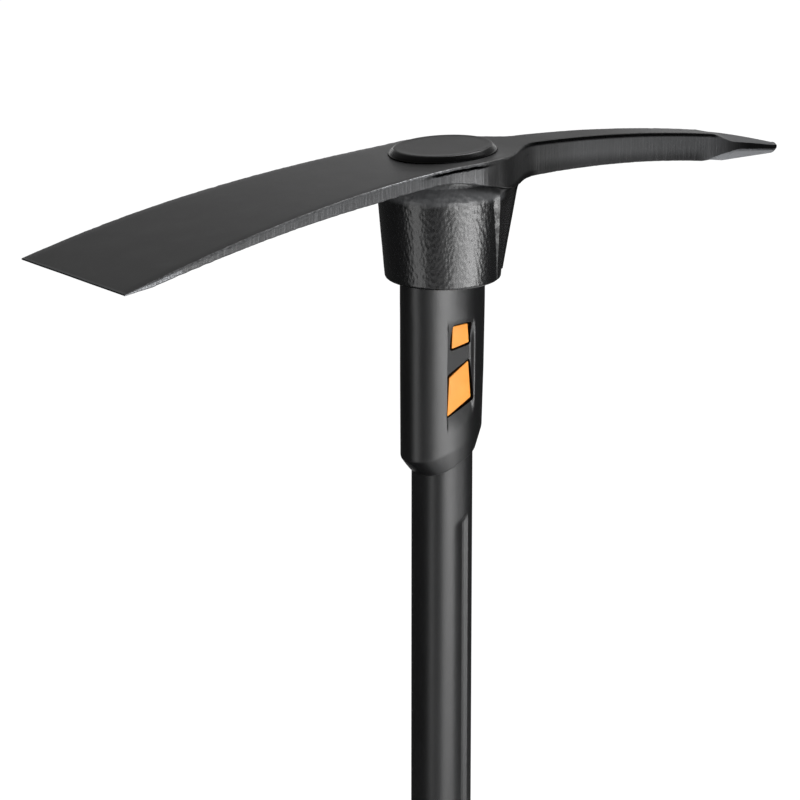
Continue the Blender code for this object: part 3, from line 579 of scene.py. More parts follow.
def armWidth(x):
    s = headShape
    bulge = s["bulge"] * hump(x, *s["bulgeSpan"])
    if x <= s["blendFrom"]:
        return bulge + blend(s["plateWidth"], edgeWidth, eased(-x / bladeReach))
    along = max(0.0, (x - s["blendTo"]) / (pointStart - s["blendTo"]))
    pick = blend(s["pickRootWidth"], s["pickEndWidth"], along)
    drawnIn = eased((x - s["blendFrom"]) / (s["blendTo"] - s["blendFrom"]))
    return bulge + blend(s["plateWidth"], pick, drawnIn)


def armHeight(x):
    s = headShape
    bevelX = -bladeReach + s["bevelLength"]
    if x <= bevelX:
        return blend(s["edgeThick"], s["heelThick"], (x + bladeReach) / s["bevelLength"])
    if x <= s["taperX"]:
        return blend(s["heelThick"], plateThick, (x - bevelX) / (s["taperX"] - bevelX))
    if x <= swellTo:
        return blend(plateThick, rootHeight, eased((x - swellFrom) / (swellTo - swellFrom)))
    along = (x - swellTo) / (pointStart - swellTo)
    return blend(s["endHeight"], rootHeight, (1.0 - along) ** 2)


def unevenCorners(x, corner, height):
    # the forging's long edges are rounded a little differently from place to place
    s = headShape
    radii = []
    for seed in (3.0, 11.0, 19.0, 27.0):
        wobble = noise.noise((x * 240.0, seed, 0.0)) + 0.7 * noise.noise((x * 620.0, seed, 5.0))
        radius = corner + s["ragged"] * wobble * min(1.0, corner / s["corner"])
        radii.append(max(0.3 * corner, min(0.42 * height, radius)))
    return radii


def armSection(x):
    # one section across the arms: top, rounded ragged corners, upright sides, bellied underside
    s = headShape
    bevelX = -bladeReach + s["bevelLength"]
    u = (x - pointStart) / (noseX - pointStart)
    slope, belly = 0.0, 0.0
    soleSlope = s["soleSteep"] * eased((x - pointStart + s["soleLead"]) / s["soleRun"])
    if u <= 0.0:
        top, height = armTop(x), armHeight(x)
        half, bottom = 0.5 * armWidth(x), top - height
        belly = s["belly"] * eased((x - bevelX) / s["bevelLength"]) * eased(1.0 - x / swellTo)
        corner = blend(s["corner"], s["pickCorner"], eased((x - s["cornerFrom"]) / s["cornerRun"]))
        corner = min(corner, 0.3 * height)
    else:
        half = 0.5 * blend(s["pickEndWidth"], s["tipWidth"], u ** s["tipBend"])
        top = blend(armTop(pointStart), -s["tipDepth"], u ** s["ridgeBend"])
        sole = -s["tipDepth"] - s["tipHeight"] + s["soleSlope"] * (noseX - x)
        bottom = max(armTop(x) - s["endHeight"], sole)
        slope = s["facetSlope"] * eased((x - pointStart) / s["facetRun"])
        corner = blend(s["pickCorner"], 0.25 * s["corner"], min(1.0, 2.5 * u))
    upper, lower = top - slope * half, bottom + soleSlope * half
    radii = unevenCorners(x, corner, upper - lower)
    fold = s["fold"] * hump(x, *s["foldSpan"]) + s["pickFold"] * hump(x, *s["pickFoldSpan"])
    fold *= 1.0 + 0.4 * noise.noise((x * 150.0, 2.0, 8.0))
    across, flat = s["across"], half - max(radii)
    points = []

    def bend(z, sign, rise, turns, radius):
        # the rounding of one long edge
        for cosine, sine in turns:
            points.append((x, sign * (half - radius + radius * cosine), z + rise * radius * sine))

    def folded(z, span, sign, marks):
        # the side draws in under the upper edge
        for drop, share in marks:
            points.append((x, sign * (half - fold * share), z - drop * min(1.0, span / s["foldRoom"])))

    outward = quarter(s["arc"])
    inward = outward[::-1]
    rightTop, rightLow, leftLow, leftTop = radii
    for i in range(1, across):
        y = flat * (2.0 * i / across - 1.0)
        points.append((x, y, top - slope * abs(y)))
    bend(upper - rightTop, 1.0, 1.0, inward, rightTop)
    folded(upper - rightTop, (upper - rightTop) - (lower + rightLow), 1.0, s["foldDrops"])
    bend(lower + rightLow, 1.0, -1.0, outward, rightLow)
    for i in range(1, across):
        y = flat * (1.0 - 2.0 * i / across)
        points.append((x, y, bottom + soleSlope * abs(y) - belly * (1.0 - (y / flat) ** 2)))
    bend(lower + leftLow, -1.0, -1.0, inward, leftLow)
    folded(upper - leftTop, (upper - leftTop) - (lower + leftLow), -1.0, reversed(s["foldDrops"]))
    bend(upper - leftTop, -1.0, 1.0, outward, leftTop)
    ripple = s["ripple"] * (1.0 if u <= 0.0 else 0.3)
    return [(px, py, pz + eyeTop + ripple * noise.noise((px * 60.0, py * 60.0, 7.0 + pz * 40.0)))
            for px, py, pz in points]


def makeArms():
    s = headShape
    marks = [-bladeReach, -bladeReach + s["bevelLength"], pointStart, noseX]
    xs = []
    for start, end in zip(marks, marks[1:]):
        steps = max(8, round(s["stations"] * (end - start) / (pickReach + bladeReach)))
        if start == pointStart:
            steps *= 2
        xs += [blend(start, end, i / steps) for i in range(steps)]
    sections = [armSection(x) for x in xs + [noseX]]
    middle = eyeTop - s["tipDepth"] - 0.5 * s["tipHeight"]
    noseRing = sections[-1]
    for cosine, sine in quarter(s["noseSteps"])[1:]:
        size = blend(s["noseEnd"], 1.0, cosine)
        x = noseX + s["noseLength"] * sine
        sections.append([(x, size * y, middle + size * (z - middle)) for _, y, z in noseRing])
    return skinned("headArms", sections)


collarShape = {
    "bottomDepth": eyeTop - headFoot, "bottomRadius": 0.0309,
    "shoulderDepth": 0.0232, "shoulder": (0.0712, 0.0690),
    "neckLength": 0.0672, "neckInset": 0.0007, "neckFull": 0.008, "edgeRound": 0.0011,
    "rows": 100, "sides": 360, "edgeRows": 5,
    "smoothRun": 0.0020, "crumpleFrom": 0.001, "crumpleRun": 0.006,
    # depth of the die's marks, and how many of them to a metre, round the collar and along it
    "dent": 0.00005, "ripple": 0.00003, "crumple": 0.00022,
    "dents": (170.0, 90.0), "smallDents": (380.0, 170.0), "ripples": (700.0, 430.0),
    "streaks": (480.0, 160.0), "folds": (240.0, 420.0),
}


def plateUnder():
    return crownDepth + armHeight(0.0)


def collarSize(depth):
    c = collarShape
    neck = (c["neckLength"], headShape["plateWidth"] - 2.0 * c["neckInset"])
    if depth <= c["shoulderDepth"]:
        t = max(0.0, (depth - plateUnder()) / (c["shoulderDepth"] - plateUnder()))
        full = 1.0 + c["neckFull"] * math.sin(math.pi * t)
        return [full * size for size in mixedSize(neck, c["shoulder"], t)]
    t = (depth - c["shoulderDepth"]) / (c["bottomDepth"] - c["shoulderDepth"])
    return mixedSize(c["shoulder"], (2.0 * c["bottomRadius"],) * 2, t)


def dieMarks(place, scale, shift=(0.0, 0.0, 0.0)):
    u, v, w = place
    around, along = collarShape[scale]
    return noise.noise((u * around + shift[0], v * around + shift[1], w * along + shift[2]))


def hammered(ring, share=1.0, crumpled=0.0):
    # the die leaves shallow dents, fine ripples and upright streaks on the collar
    c, g = collarShape, gussetShape
    made = []
    for x, y, z in ring:
        t = (eyeTop - z - plateUnder()) / (c["bottomDepth"] - plateUnder())
        smooth = eased((x - blend(g["topStartX"], g["lowStartX"], t) + c["smoothRun"]) / c["smoothRun"])
        # the place is turned, so that the marks show no direction
        place = (0.8 * x + 0.6 * y, 0.8 * y - 0.6 * x, z + 0.4 * x + 0.3 * y)
        dents = dieMarks(place, "dents") + 0.6 * dieMarks(place, "smallDents")
        ripples = dieMarks(place, "ripples", (9.0, 0.0, 0.0))
        ripples += 0.8 * abs(dieMarks(place, "streaks", (0.0, 5.0, 0.0)))
        folds = dieMarks(place, "folds", (0.0, 0.0, 3.0))
        push = share * (c["dent"] * dents + c["ripple"] * ripples + c["crumple"] * crumpled * folds)
        push *= (1.0 - 0.9 * smooth) / math.hypot(x, y)
        made.append((x * (1.0 + push), y * (1.0 + push), z))
    return made


def makeCollar():
    c = collarShape
    top = crownDepth + 0.5 * plateThick
    rings = [ovalRing(*collarSize(0.0), eyeTop - top, sides=c["sides"])]
    for k in range(c["rows"] + 1):
        depth = blend(plateUnder(), c["bottomDepth"] - c["edgeRound"], k / c["rows"])
        crumpled = 1.0 - eased((depth - c["shoulderDepth"] + c["crumpleFrom"]) / c["crumpleRun"])
        ring = ovalRing(*collarSize(depth), eyeTop - depth, sides=c["sides"])
        rings.append(hammered(ring, eased(12.0 * k / c["rows"]), crumpled))
    for k, (cosine, sine) in enumerate(quarter(c["edgeRows"])[1:], 1):
        size = 2.0 * c["bottomRadius"] - 2.0 * c["edgeRound"] * (1.0 - cosine)
        ring = ovalRing(size, size, headFoot + c["edgeRound"] * (1.0 - sine), sides=c["sides"])
        rings.append(hammered(ring, 1.0 - 0.9 * k / c["edgeRows"]))
    return skinned("headCollar", rings)


gussetShape = {
    "topStartX": 0.0048, "lowStartX": 0.0151, "topStep": 0.0043, "lowStep": 0.0003, "stepEnd": 0.86,
    "lift": 0.36, "rise": 0.0060, "fillet": 0.0060, "flare": 0.0040,
    "topNoseX": 0.0430, "lowNoseX": 0.0300, "noseWidth": 0.0246, "noseLength": 0.0061, "wallBend": 1.12,
    "footRise": 0.0009, "rows": 90, "wallSteps": 16, "noseSteps": 14, "uneven": 0.00012,
}


def gussetRing(depth):
    g, c = gussetShape, collarShape
    t = (depth - plateUnder()) / (c["bottomDepth"] - plateUnder())
    length, width = collarSize(depth)

    def wall(x):
        return 0.5 * width * math.sqrt(1.0 - (2.0 * x / length) ** 2)

    startX = blend(g["topStartX"], g["lowStartX"], t)
    shoulderX = startX + blend(g["topStep"], g["lowStep"], min(1.0, t / g["stepEnd"]))
    grown = eased((depth - plateUnder()) / g["rise"])
    flush = min(0.5 * armWidth(shoulderX) - gap, wall(shoulderX))
    shoulder = blend(flush, wall(startX) + g["lift"] * (shoulderX - startX), grown)
    cove = (depth - crownDepth - rootHeight) / g["fillet"]
    cove = 1.0 - min(max(cove, 0.0), 1.0)
    nearNose = blend(g["topNoseX"], g["lowNoseX"], t) + g["flare"] * (1.0 - math.sqrt(1.0 - cove ** 2))
    nose = 0.5 * g["noseWidth"]
    half = [(0.0, 0.8 * shoulder), (startX, wall(startX) - 0.2 * gap), (shoulderX, shoulder)]
    for k in range(1, g["wallSteps"] + 1):
        along = k / g["wallSteps"]
        x = blend(shoulderX, nearNose, along)
        y = blend(shoulder, nose, along ** g["wallBend"])
        half.append((x, max(y, wall(x) + gap) if x < 0.49 * length else y))
    half += [(nearNose + g["noseLength"] * sine, nose * cosine)
             for cosine, sine in quarter(g["noseSteps"])[1:-1]]
    outline = half + [(nearNose + g["noseLength"], 0.0)] + [(x, -y) for x, y in reversed(half)]
    uneven = g["uneven"] / nose
    return [(x, y * (1.0 + uneven * noise.noise((x * 220.0, y * 220.0, depth * 160.0))), eyeTop - depth)
            for x, y in outline]


def makeGusset():
    g = gussetShape
    top = crownDepth + 0.6 * armHeight(0.0)
    foot = collarShape["bottomDepth"] - g["footRise"]
    rings = [gussetRing(blend(top, foot, k / g["rows"])) for k in range(g["rows"] + 1)]
    return skinned("headGusset", rings)


eyeShape = {"top": (0.0565, 0.0455), "low": (0.0488, 0.0330), "landDepth": 0.0046, "cutBeyond": 0.010}


def makeHead():
    e, beyond = eyeShape, eyeShape["cutBeyond"]
    bore = []
    for depth in (e["landDepth"] - beyond, eyeTop - headFoot + beyond):
        t = (depth - e["landDepth"]) / (eyeTop - headFoot - e["landDepth"])
        bore.append(ovalRing(*mixedSize(e["top"], e["low"], t), eyeTop - depth))
    rim = wider(footprint(capLow, capHigh), gap)
    land = [ovalRing(*rim, z) for z in (eyeTop - e["landDepth"], eyeTop + beyond)]
    head = combined(makeArms(), [
        (makeCollar(), "UNION"), (makeGusset(), "UNION"),
        (skinned("boreCut", bore), "DIFFERENCE"), (skinned("landCut", land), "DIFFERENCE"),
    ])
    head.name = "forgedHead"
    return finished(head, "steel", "head", sharp=38)


makeHead()


# Eye cap

capShape = {
    "top": (0.0569, 0.0448), "spigot": (0.0385, 0.0280), "edge": 0.0009, "dish": 0.0001,
    "sides": 160, "spacing": 0.004,
}


def makeCap():
    c, edge = capShape, capShape["edge"]
    seat = eyeTop - eyeShape["landDepth"] + gap
    top, rim = c["top"], footprint(capLow, capHigh)
    stations = [
        station((0.3 * top[0], 0.3 * top[1]), eyeTop - c["dish"]),
        station(wider(top, -2.5 * edge), eyeTop - c["dish"]),
        station(wider(top, -1.75 * edge), eyeTop),
        station(top, eyeTop, rounding=edge),
        station(rim, seat + 1.9 * edge, rounding=edge),
        station(rim, seat + 0.9 * edge, rounding=0.4 * edge),
        station(wider(rim, -0.6 * edge), seat, rounding=0.3 * edge),
        station(c["spigot"], seat),
        station(c["spigot"], capLow.z),
    ]
    cap = skinned("ovalCap", ringsAlong(stations, c["spacing"], c["sides"]))
    return finished(cap, "cap", "eye_cap", sharp=50)


makeCap()


# Collar sleeve: plain ring, flatted body with a soft pocket and two windows, slanted chamfer

sleeveShape = {
    "ringPower": 2.10, "bodyPower": 2.16, "grown": (0.0001, 0.0006), "bodyStep": (-0.0003, -0.0002),
    "heelStep": (-0.0010, -0.0003), "ringEnd": 0.0135, "step": 0.0080, "stepRound": 0.0036,
    "mouthInset": 0.0005, "mouthRise": 0.0005, "mouthRound": 0.0003,
    "heelShift": -0.0007, "heelEnd": 0.0911, "heelSlant": 0.33, "heelRound": 0.0009,
    "lip": 0.0011, "lipEnd": 0.1004, "lipSlant": 0.43, "lipRound": 0.0005, "lipEdge": 0.0004,
    "socketTop": 0.0826, "sides": 300, "spacing": 0.00055,
    "pocketLength": 0.0194, "pocketShift": -0.0003, "pocketTop": 0.0188, "pocketEnd": 0.0800,
    "pocketSlant": 0.49, "padProud": 0.0003,
    "softLeft": 0.0009, "softRight": 0.0024, "softTop": 0.0160, "softEnd": 0.0150,
    "windows": {
        "upperWindow": ((-0.0051, 0.0239), (-0.0057, 0.0368), (0.0066, 0.0350), (0.0057, 0.0239)),
        "lowerWindow": ((-0.0074, 0.0520), (-0.0087, 0.0739), (0.0080, 0.0660), (0.0062, 0.0447)),
    },
    "windowCorner": 0.0011, "windowGrown": 0.0011, "cutFrom": 0.006, "cutTo": 0.030,
}
shockShape = {
    "wall": (0.0058, 0.0026), "flareEnd": 0.0680, "padShrunk": 0.00025, "padRoot": 0.002, "padEdge": 0.0004,
}
shellShape = {
    "power": 2.6, "grooveShift": 0.0005, "grooveWidth": 0.0126, "grooveDepth": 0.0013,
    "grooveTop": 0.1335, "grooveSlant": 0.54, "grooveToGrip": 0.0480, "wall": 0.0022, "softWall": 0.0086,
    "seatStep": 0.0015, "sides": 260, "topStep": 0.0004, "footStep": 0.0006, "middleRows": 12,
    "margin": 0.001,
}
coreSize = (0.0227, 0.0180)


def pocketShare(x, depth, s):
    # 1 on the pocket's floor, 0 outside it, with walls of their own softness; depth is below the head
    left = s["pocketShift"] - 0.5 * s["pocketLength"]
    right = s["pocketShift"] + 0.5 * s["pocketLength"]
    end = s["pocketEnd"] - s["pocketSlant"] * x
    return (hump(x, left, s["softLeft"], right, s["softRight"])
            * hump(depth, s["pocketTop"], s["softTop"], end, s["softEnd"]))


def windowOutline(window, grown):
    # corners of a window in x and z, moved out by the given amount
    middle = sum((Vector(c) for c in window), Vector((0.0, 0.0))) / 4
    corners = []
    for x, d in window:
        away = Vector((math.copysign(1.0, x - middle.x), math.copysign(1.0, d - middle.y)))
        corners.append((x + sleeveShape["pocketShift"] + grown * away.x, headFoot - d - grown * away.y))
    return roundedOutline(corners, sleeveShape["windowCorner"] + grown)


def windowPlugs(kind, grown, inner, outer, edge=0.0):
    # one plug through each window, on both sides
    plugs = []
    for name, window in sleeveShape["windows"].items():
        outline = windowOutline(window, grown)
        for sign in (-1.0, 1.0):
            plugs.append(windowPlug(name + kind, outline, sign * inner, sign * outer, edge))
    return plugs


def makeSleeve():
    s = sleeveShape
    ring = wider(footprint(sleeveLow, sleeveHigh), *s["grown"])
    body = wider(ring, *s["bodyStep"])
    heel = wider(body, *s["heelStep"])
    socket = wider(footprint(shellLow, shellHigh), gap)
    bore = wider(wider(coreSize, 2.0 * gap), *shockShape["wall"])
    ringPower, bodyPower, shellPower = s["ringPower"], s["bodyPower"], shellShape["power"]
    lipSlant, heelShift, sides = s["lipSlant"], s["heelShift"], s["sides"]
    top, ringEnd = headFoot - gap, headFoot - s["ringEnd"]
    heelEnd, lipEnd, socketTop = headFoot - s["heelEnd"], headFoot - s["lipEnd"], headFoot - s["socketTop"]
    outside = [
        station(wider(ring, -s["mouthInset"]), top, ringPower),
        station(ring, top - s["mouthRise"], ringPower, rounding=s["mouthRound"]),
        station(ring, ringEnd, ringPower, rounding=s["stepRound"]),
        station(body, ringEnd - s["step"], bodyPower, rounding=s["stepRound"]),
        station(mixedSize(body, heel, 0.3), 0.5 * (ringEnd + heelEnd), bodyPower, 0.0, 0.4 * heelShift),
        station(heel, heelEnd, bodyPower, s["heelSlant"], heelShift, s["heelRound"]),
        station(wider(socket, s["lip"]), lipEnd, shellPower, lipSlant, rounding=s["lipRound"]),
        station(wider(socket, 0.5 * s["lip"]), lipEnd - s["lipEdge"], shellPower, lipSlant),
    ]
    floorY = padFace - s["padProud"]
    carved = [[pressedIn(point, floorY, pocketShare(point[0], headFoot - point[2], s)) for point in points]
              for points in ringsAlong(outside, s["spacing"], sides)]
    inside = [
        ovalRing(*socket, lipEnd, shellPower, lipSlant, sides=sides),
        ovalRing(*socket, socketTop, shellPower, sides=sides),
        ovalRing(*bore, socketTop, sides=sides),
        ovalRing(*bore, top, sides=sides),
    ]
    cuts = [(plug, "DIFFERENCE") for plug in windowPlugs("Cut", s["windowGrown"], s["cutFrom"], s["cutTo"])]
    sleeve = combined(skinned("windowedSleeve", carved + inside, "tube"), cuts)
    return finished(sleeve, "sleeve", "collar_sleeve", sharp=40)


def makeShock():
    # soft tube, seen only where its pads fill the windows
    s, eye = shockShape, eyeShape
    low = wider(wider(coreSize, gap), *s["wall"])
    top = eyeTop - eye["landDepth"] - gap
    outsideTop, outsideStep = footprint(shockLow, shockHigh), wider(eye["low"], -gap)
    boreTop, boreLow = wider(capShape["spigot"], gap), wider(coreSize, gap)
    rings = [ovalRing(*size, z) for size, z in (
        (outsideTop, top), (outsideStep, headFoot), (low, headFoot), (low, shockLow.z),
        (boreLow, shockLow.z), (boreLow, eyeTop - s["flareEnd"]), (boreTop, coreHigh.z), (boreTop, top))]
    pads = windowPlugs("Pad", -s["padShrunk"], 0.5 * low[1] - s["padRoot"], padFace, s["padEdge"])
    shock = combined(skinned("padSleeve", rings, "tube"), [(pad, "UNION") for pad in pads])
    return finished(shock, "orange", "shock_sleeve", sharp=40)


makeSleeve()
makeShock()


# Handle shell with a long soft-walled groove on each side

def grooveShare(x, z, s, top, bottom):
    left = s["grooveShift"] - 0.5 * s["grooveWidth"]
    right = s["grooveShift"] + 0.5 * s["grooveWidth"]
    low, high = bottom + s["grooveSlant"] * x, top + s["grooveSlant"] * x
    wall = s["wall"]
    return (min(max(x - left, 0.0) / s["softWall"], 1.0) ** 2 * eased((right - x) / wall)
            * hump(z, low, 2.0 * wall, high, 2.0 * wall))


def makeShell():
    s = shellShape
    outside = footprint(shellLow, shellHigh)
    seat, bore = wider(outside, -s["seatStep"]), wider(coreSize, gap)
    gripTop = gripHigh.z + gap
    top, bottom = headFoot - s["grooveTop"], gripTop + s["grooveToGrip"]
    reach = 0.5 * s["grooveSlant"] * s["grooveWidth"] + 2.0 * s["wall"] + s["margin"]
    zs = [shellHigh.z, top + reach, bottom - reach, gripTop]
    zs += list(np.arange(top + reach, top - reach, -s["topStep"]))
    zs += list(np.linspace(top - reach, bottom + reach, s["middleRows"]))
    zs += list(np.arange(bottom + reach, bottom - reach, -s["footStep"]))
    floorY = 0.5 * outside[1] - s["grooveDepth"]
    rings = []
    for z in sorted(set(round(float(z), 6) for z in zs), reverse=True):
        rings.append([pressedIn(point, floorY, grooveShare(point[0], z, s, top, bottom))
                      for point in ovalRing(*outside, z, s["power"], sides=s["sides"])])
    rings += [ovalRing(*seat, z, s["power"], sides=s["sides"]) for z in (gripTop, shellLow.z)]
    rings += [ovalRing(*bore, z, sides=s["sides"]) for z in (shellLow.z, shellHigh.z)]
    shell = skinned("groovedShell", rings, "tube")
    return finished(shell, "shell", "handle_shell", sharp=40)


makeShell()


# Grip, a ring surface that a geometry node tree shapes by rule: palm swell, flare and grooves

gripShape = {
    "sides": 128, "rows": 380, "bottom": gripLow.z, "top": gripHigh.z, "power": 2.4,
    "length": 0.0332, "width": 0.0321, "seatLength": 0.0286, "seatWidth": 0.0275,
    "swell": 0.0026, "flareX": 0.0146, "flareY": 0.0100, "flareLength": 0.0480,
    "ribCount": 18, "ribPitch": 0.0135, "ribDepth": 0.0009, "ribWidth": 0.0040, "ribStart": 0.0700,
}
wholeNumbers = ("sides", "rows", "ribCount")


class GripTree(Tree):
    # named inputs are read from the group's own socket of that name
    def __init__(self, name, sizes):
        super().__init__(bpy.data.node_groups.new(name, "GeometryNodeTree"))
        self.identifiers = {}
        for key, size in sizes.items():
            kind = "NodeSocketInt" if key in wholeNumbers else "NodeSocketFloat"
            slot = self.tree.interface.new_socket(key, in_out="INPUT", socket_type=kind)
            slot.default_value = size
            self.identifiers[key] = slot.identifier
        self.tree.interface.new_socket("surface", in_out="OUTPUT", socket_type="NodeSocketGeometry")
        inputs = self.tree.nodes.new("NodeGroupInput")
        self.given = {key: Value(self.tree, inputs.outputs[key]) for key in sizes}


def makeGripTree(sizes, material):
    t = GripTree("ribbedGrip", sizes)
    given = t.given
    # the grid's last three rows are the inner wall's two ends and the outer wall's first row again
    rows, sides = given["rows"], given["sides"]
    grid = t.node("GeometryNodeMeshGrid", values={
        "Size X": 1.0, "Size Y": 1.0, "Vertices X": sides + 1.0, "Vertices Y": rows + 4.0})
    gx, gy, _ = t.parts(t.node("GeometryNodeInputPosition"))
    row = ((gy + 0.5) * (rows + 3.0)).of("ROUND")
    turn = (gx + 0.5) * (2.0 * math.pi)
    inner = (row > rows + 0.5) * (row < rows + 2.5)
    z = given["bottom"] + (row / rows).low(1.0) * (row < rows + 1.5) * (given["top"] - given["bottom"])
    flareTop = given["bottom"] + given["flareLength"]
    sine = (z.ramp(flareTop, given["top"]) * math.pi).of("SINE")
    swell = given["swell"] * sine * sine
    flare = z.fade(given["bottom"], flareTop)
    nearest = ((z - given["ribStart"]) / given["ribPitch"]).of("ROUND")
    nearest = nearest.top(0.0).low(given["ribCount"] - 1.0)
    off = abs(z - given["ribStart"] - nearest * given["ribPitch"])
    groove = off.fade(0.0, 0.5 * given["ribWidth"]) * given["ribDepth"] * 2.0
    bend = 2.0 / given["power"]
    cx, sy = (wave.of("SIGN") * abs(wave) ** bend for wave in (turn.of("COSINE"), turn.of("SINE")))
    length = given["length"] + swell + given["flareX"] * flare - groove
    width = given["width"] + swell + given["flareY"] * flare - groove
    length = length * (1.0 - inner) + given["seatLength"] * inner
    width = width * (1.0 - inner) + given["seatWidth"] * inner
    place = t.node("ShaderNodeCombineXYZ", values={0: 0.5 * length * cx, 1: 0.5 * width * sy, 2: z})
    shaped = t.node("GeometryNodeSetPosition", values={"Geometry": grid, "Position": place})
    closed = t.node("GeometryNodeMergeByDistance", values={"Geometry": shaped, "Distance": 0.00001})
    real = t.node("GeometryNodeRealizeInstances", values={"Geometry": closed})
    painted = t.node("GeometryNodeSetMaterial", values={"Geometry": real, "Material": material})
    out = t.tree.nodes.new("NodeGroupOutput")
    t.tree.links.new(painted.socket, out.inputs[0])
    return t


def baked(name, tree, sizes):
    # the evaluated modifier made a plain mesh, with the modifier gone
    obj = linked(name, bpy.data.meshes.new(name + "Start"))
    modifier = obj.modifiers.new("shape", "NODES")
    modifier.node_group = tree.tree
    for key, identifier in tree.identifiers.items():
        modifier[identifier] = sizes[key]
    bpy.context.view_layer.update()
    mesh = bpy.data.meshes.new_from_object(obj.evaluated_get(bpy.context.evaluated_depsgraph_get()))
    obj.modifiers.remove(modifier)
    bm = bmesh.new()
    bm.from_mesh(mesh)
    bmesh.ops.recalc_face_normals(bm, faces=bm.faces)
    bm.to_mesh(mesh)
    bm.free()
    obj.data = mesh
    return obj


def makeGrip():
    grip = baked("ribbedGrip", makeGripTree(gripShape, finishes["grip"]), gripShape)
    grip = combined(grip, [], {"width": 0.0008, "segments": 3, "angle": 60})
    return finished(grip, "grip", "grip_sleeve", sharp=50)


makeGrip()


# Butt cap

buttShape = {
    "height": 0.0080, "edge": 0.0016, "topEdge": 0.0005, "power": 2.4, "spacing": 0.003,
    "dish": 0.0004, "dishEnd": 0.72, "rimStart": 0.76, "dishRound": 0.0004,
}


def makeButt():
    b, size = buttShape, footprint(buttLow, buttHigh)
    marks = ((0.3, b["dish"], 0.0), (b["dishEnd"], b["dish"], b["dishRound"]),
             (b["rimStart"], 0.0, b["dishRound"]), (1.0, 0.0, b["edge"]), (1.0, b["height"], b["topEdge"]))
    stations = [station((share * size[0], share * size[1]), z, b["power"], rounding=rounding)
                for share, z, rounding in marks]
    stations += [station(coreSize, z) for z in (b["height"], buttHigh.z)]
    butt = skinned("buttEnd", ringsAlong(stations, b["spacing"]))
    return finished(butt, "butt", "butt_cap", sharp=50)


makeButt()


# The core lies inside and keeps its own mesh

nodes["handle_core"].data.materials.clear()
nodes["handle_core"].data.materials.append(finishes["core"])


# Studio: pale floor and backdrop, soft lamps

studio = {
    "floorRadius": 28.0, "wallHeight": 7.0, "floorColour": 0.80, "share": 0.85, "white": 1.17,
    "worldLevel": 0.32, "target": (0.0, 0.0, 0.85), "levelBelow": 1.2, "cardSteps": 12, "cardColour": 0.004,
    # lamps stand round the handle: direction in degrees, distance, height of the middle, size, power;
    # they point level below one height and at the target above it
    "lamps": {
        "keyHigh": (-90.0, 1.30, 0.65, (0.68, 0.48), 9.6),
        "keyMiddle": (-70.0, 1.30, 0.32, (0.60, 0.18), 3.5),
        "keyLow": (-99.0, 1.30, 0.13, (0.76, 0.18), 3.3),
        "sideBox": (-60.0, 1.30, 0.265, (0.54, 0.19), 1.15),
        "leftBox": (-177.0, 1.30, 0.44, (0.50, 0.80), 1.6),
        "topBox": (12.0, 1.35, 2.60, (1.2, 1.0), 15.0),
    },
    # cards beside the object, never seen themselves: directions, (distance, height) twice, grey level
    "cards": {
        "leftCard": (62.0, 168.0, (0.95, 0.02), (0.95, 0.90), 0.05),
        "frontCard": (-166.0, -134.0, (0.95, 0.40), (0.95, 0.90), 0.08),
        "flankCard": (-134.0, -110.0, (0.95, 0.42), (0.95, 0.545), 0.30),
        "collarCard": (-68.0, -40.0, (0.95, 0.535), (0.95, 0.66), 0.25),
        "rightCard": (-45.0, 46.0, (0.95, 0.02), (0.95, 0.90), 0.04),
        "floorCard": (-295.0, -128.0, (0.08, 0.01), (0.95, 0.01), 0.0),
    },
}


def around(turn, distance, height):
    a = math.radians(turn)
    return distance * math.cos(a), distance * math.sin(a), height


def paleStage(name):
    # white where it is seen or mirrored, and still darker in the object's shadow
    s = studio
    material = bpy.data.materials.new(name)
    material.use_nodes = True
    t = Tree(material.node_tree)
    t.tree.nodes.clear()
    seen = t.node("ShaderNodeLightPath")
    camera, glossy, transmitted = (Value(t.tree, seen.socket.node.outputs[n])
                                   for n in ("Is Camera Ray", "Is Glossy Ray", "Is Transmission Ray"))
    share = camera.top(glossy).top(transmitted) * s["share"]
    lit = t.node("ShaderNodeBsdfDiffuse", values={"Color": grey(s["floorColour"])})
    white = t.node("ShaderNodeEmission", values={"Strength": s["white"]})
    mixed = t.node("ShaderNodeMixShader", values={0: share, 1: lit, 2: white})
    t.node("ShaderNodeOutputMaterial", values={"Surface": mixed})
    return material


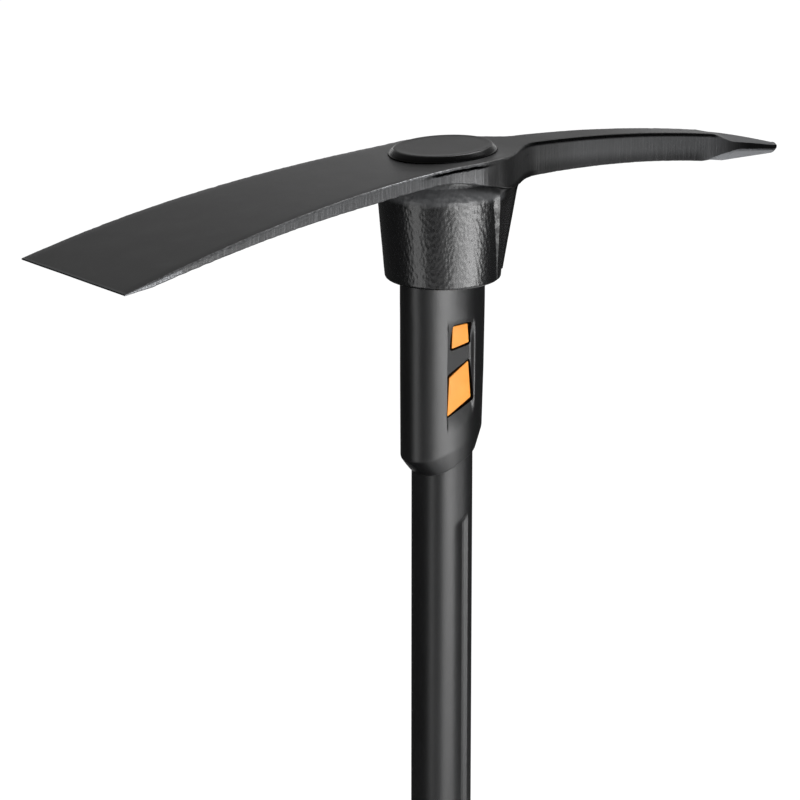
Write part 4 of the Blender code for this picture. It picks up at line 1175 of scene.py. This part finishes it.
def makeSheet(name, rows, material, ringed=True):
    # a part of the studio, left out of the object
    sheet = skinned(name, rows, "open", ringed)
    sheet.data.materials.append(material)
    return sheet


def makeStage():
    wide, high, middle = 2.0 * studio["floorRadius"], studio["wallHeight"], 0.002
    paint = paleStage("paleStudio")
    for name, rows in (("floor", ((wide, 0.0), (middle, 0.0))), ("backdrop", ((wide, 0.0), (wide, high)))):
        makeSheet(name, [ovalRing(size, size, z) for size, z in rows], paint)


def makeLamp(name, turn, distance, height, size, power):
    data = bpy.data.lights.new(name, "AREA")
    data.shape, data.energy = "RECTANGLE", power
    data.size, data.size_y = size
    lamp = linked(name, data)
    lamp.location = around(turn, distance, height)
    aim = Vector((0.0, 0.0, height) if height <= studio["levelBelow"] else studio["target"])
    lamp.rotation_euler = (aim - lamp.location).to_track_quat("-Z", "Y").to_euler()
    lamp.visible_camera = False


def makeCard(name, start, end, first, second, level):
    turns = [blend(start, end, i / studio["cardSteps"]) for i in range(studio["cardSteps"] + 1)]
    material = bpy.data.materials.new(name)
    material.use_nodes = True
    shader = material.node_tree.nodes["Principled BSDF"]
    shader.inputs["Base Color"].default_value = grey(studio["cardColour"])
    shader.inputs["Specular IOR Level"].default_value = 0.0
    shader.inputs["Emission Color"].default_value = (1.0, 1.0, 1.0, 1.0)
    shader.inputs["Emission Strength"].default_value = level
    rows = [[around(turn, *place) for turn in turns] for place in (first, second)]
    card = makeSheet(name, rows, material, ringed=False)
    card.visible_camera = card.visible_diffuse = card.visible_shadow = False


def makeWorld():
    world = bpy.data.worlds.new("softRoom")
    world.use_nodes = True
    background = world.node_tree.nodes["Background"]
    background.inputs["Color"].default_value = (1.0, 1.0, 1.0, 1.0)
    background.inputs["Strength"].default_value = studio["worldLevel"]
    bpy.context.scene.world = world


makeStage()
makeWorld()
for lampName, lampSettings in studio["lamps"].items():
    makeLamp(lampName, *lampSettings)
for cardName, cardSettings in studio["cards"].items():
    makeCard(cardName, *cardSettings)
bpy.context.scene.view_settings.view_transform = "Standard"
print("studio made")
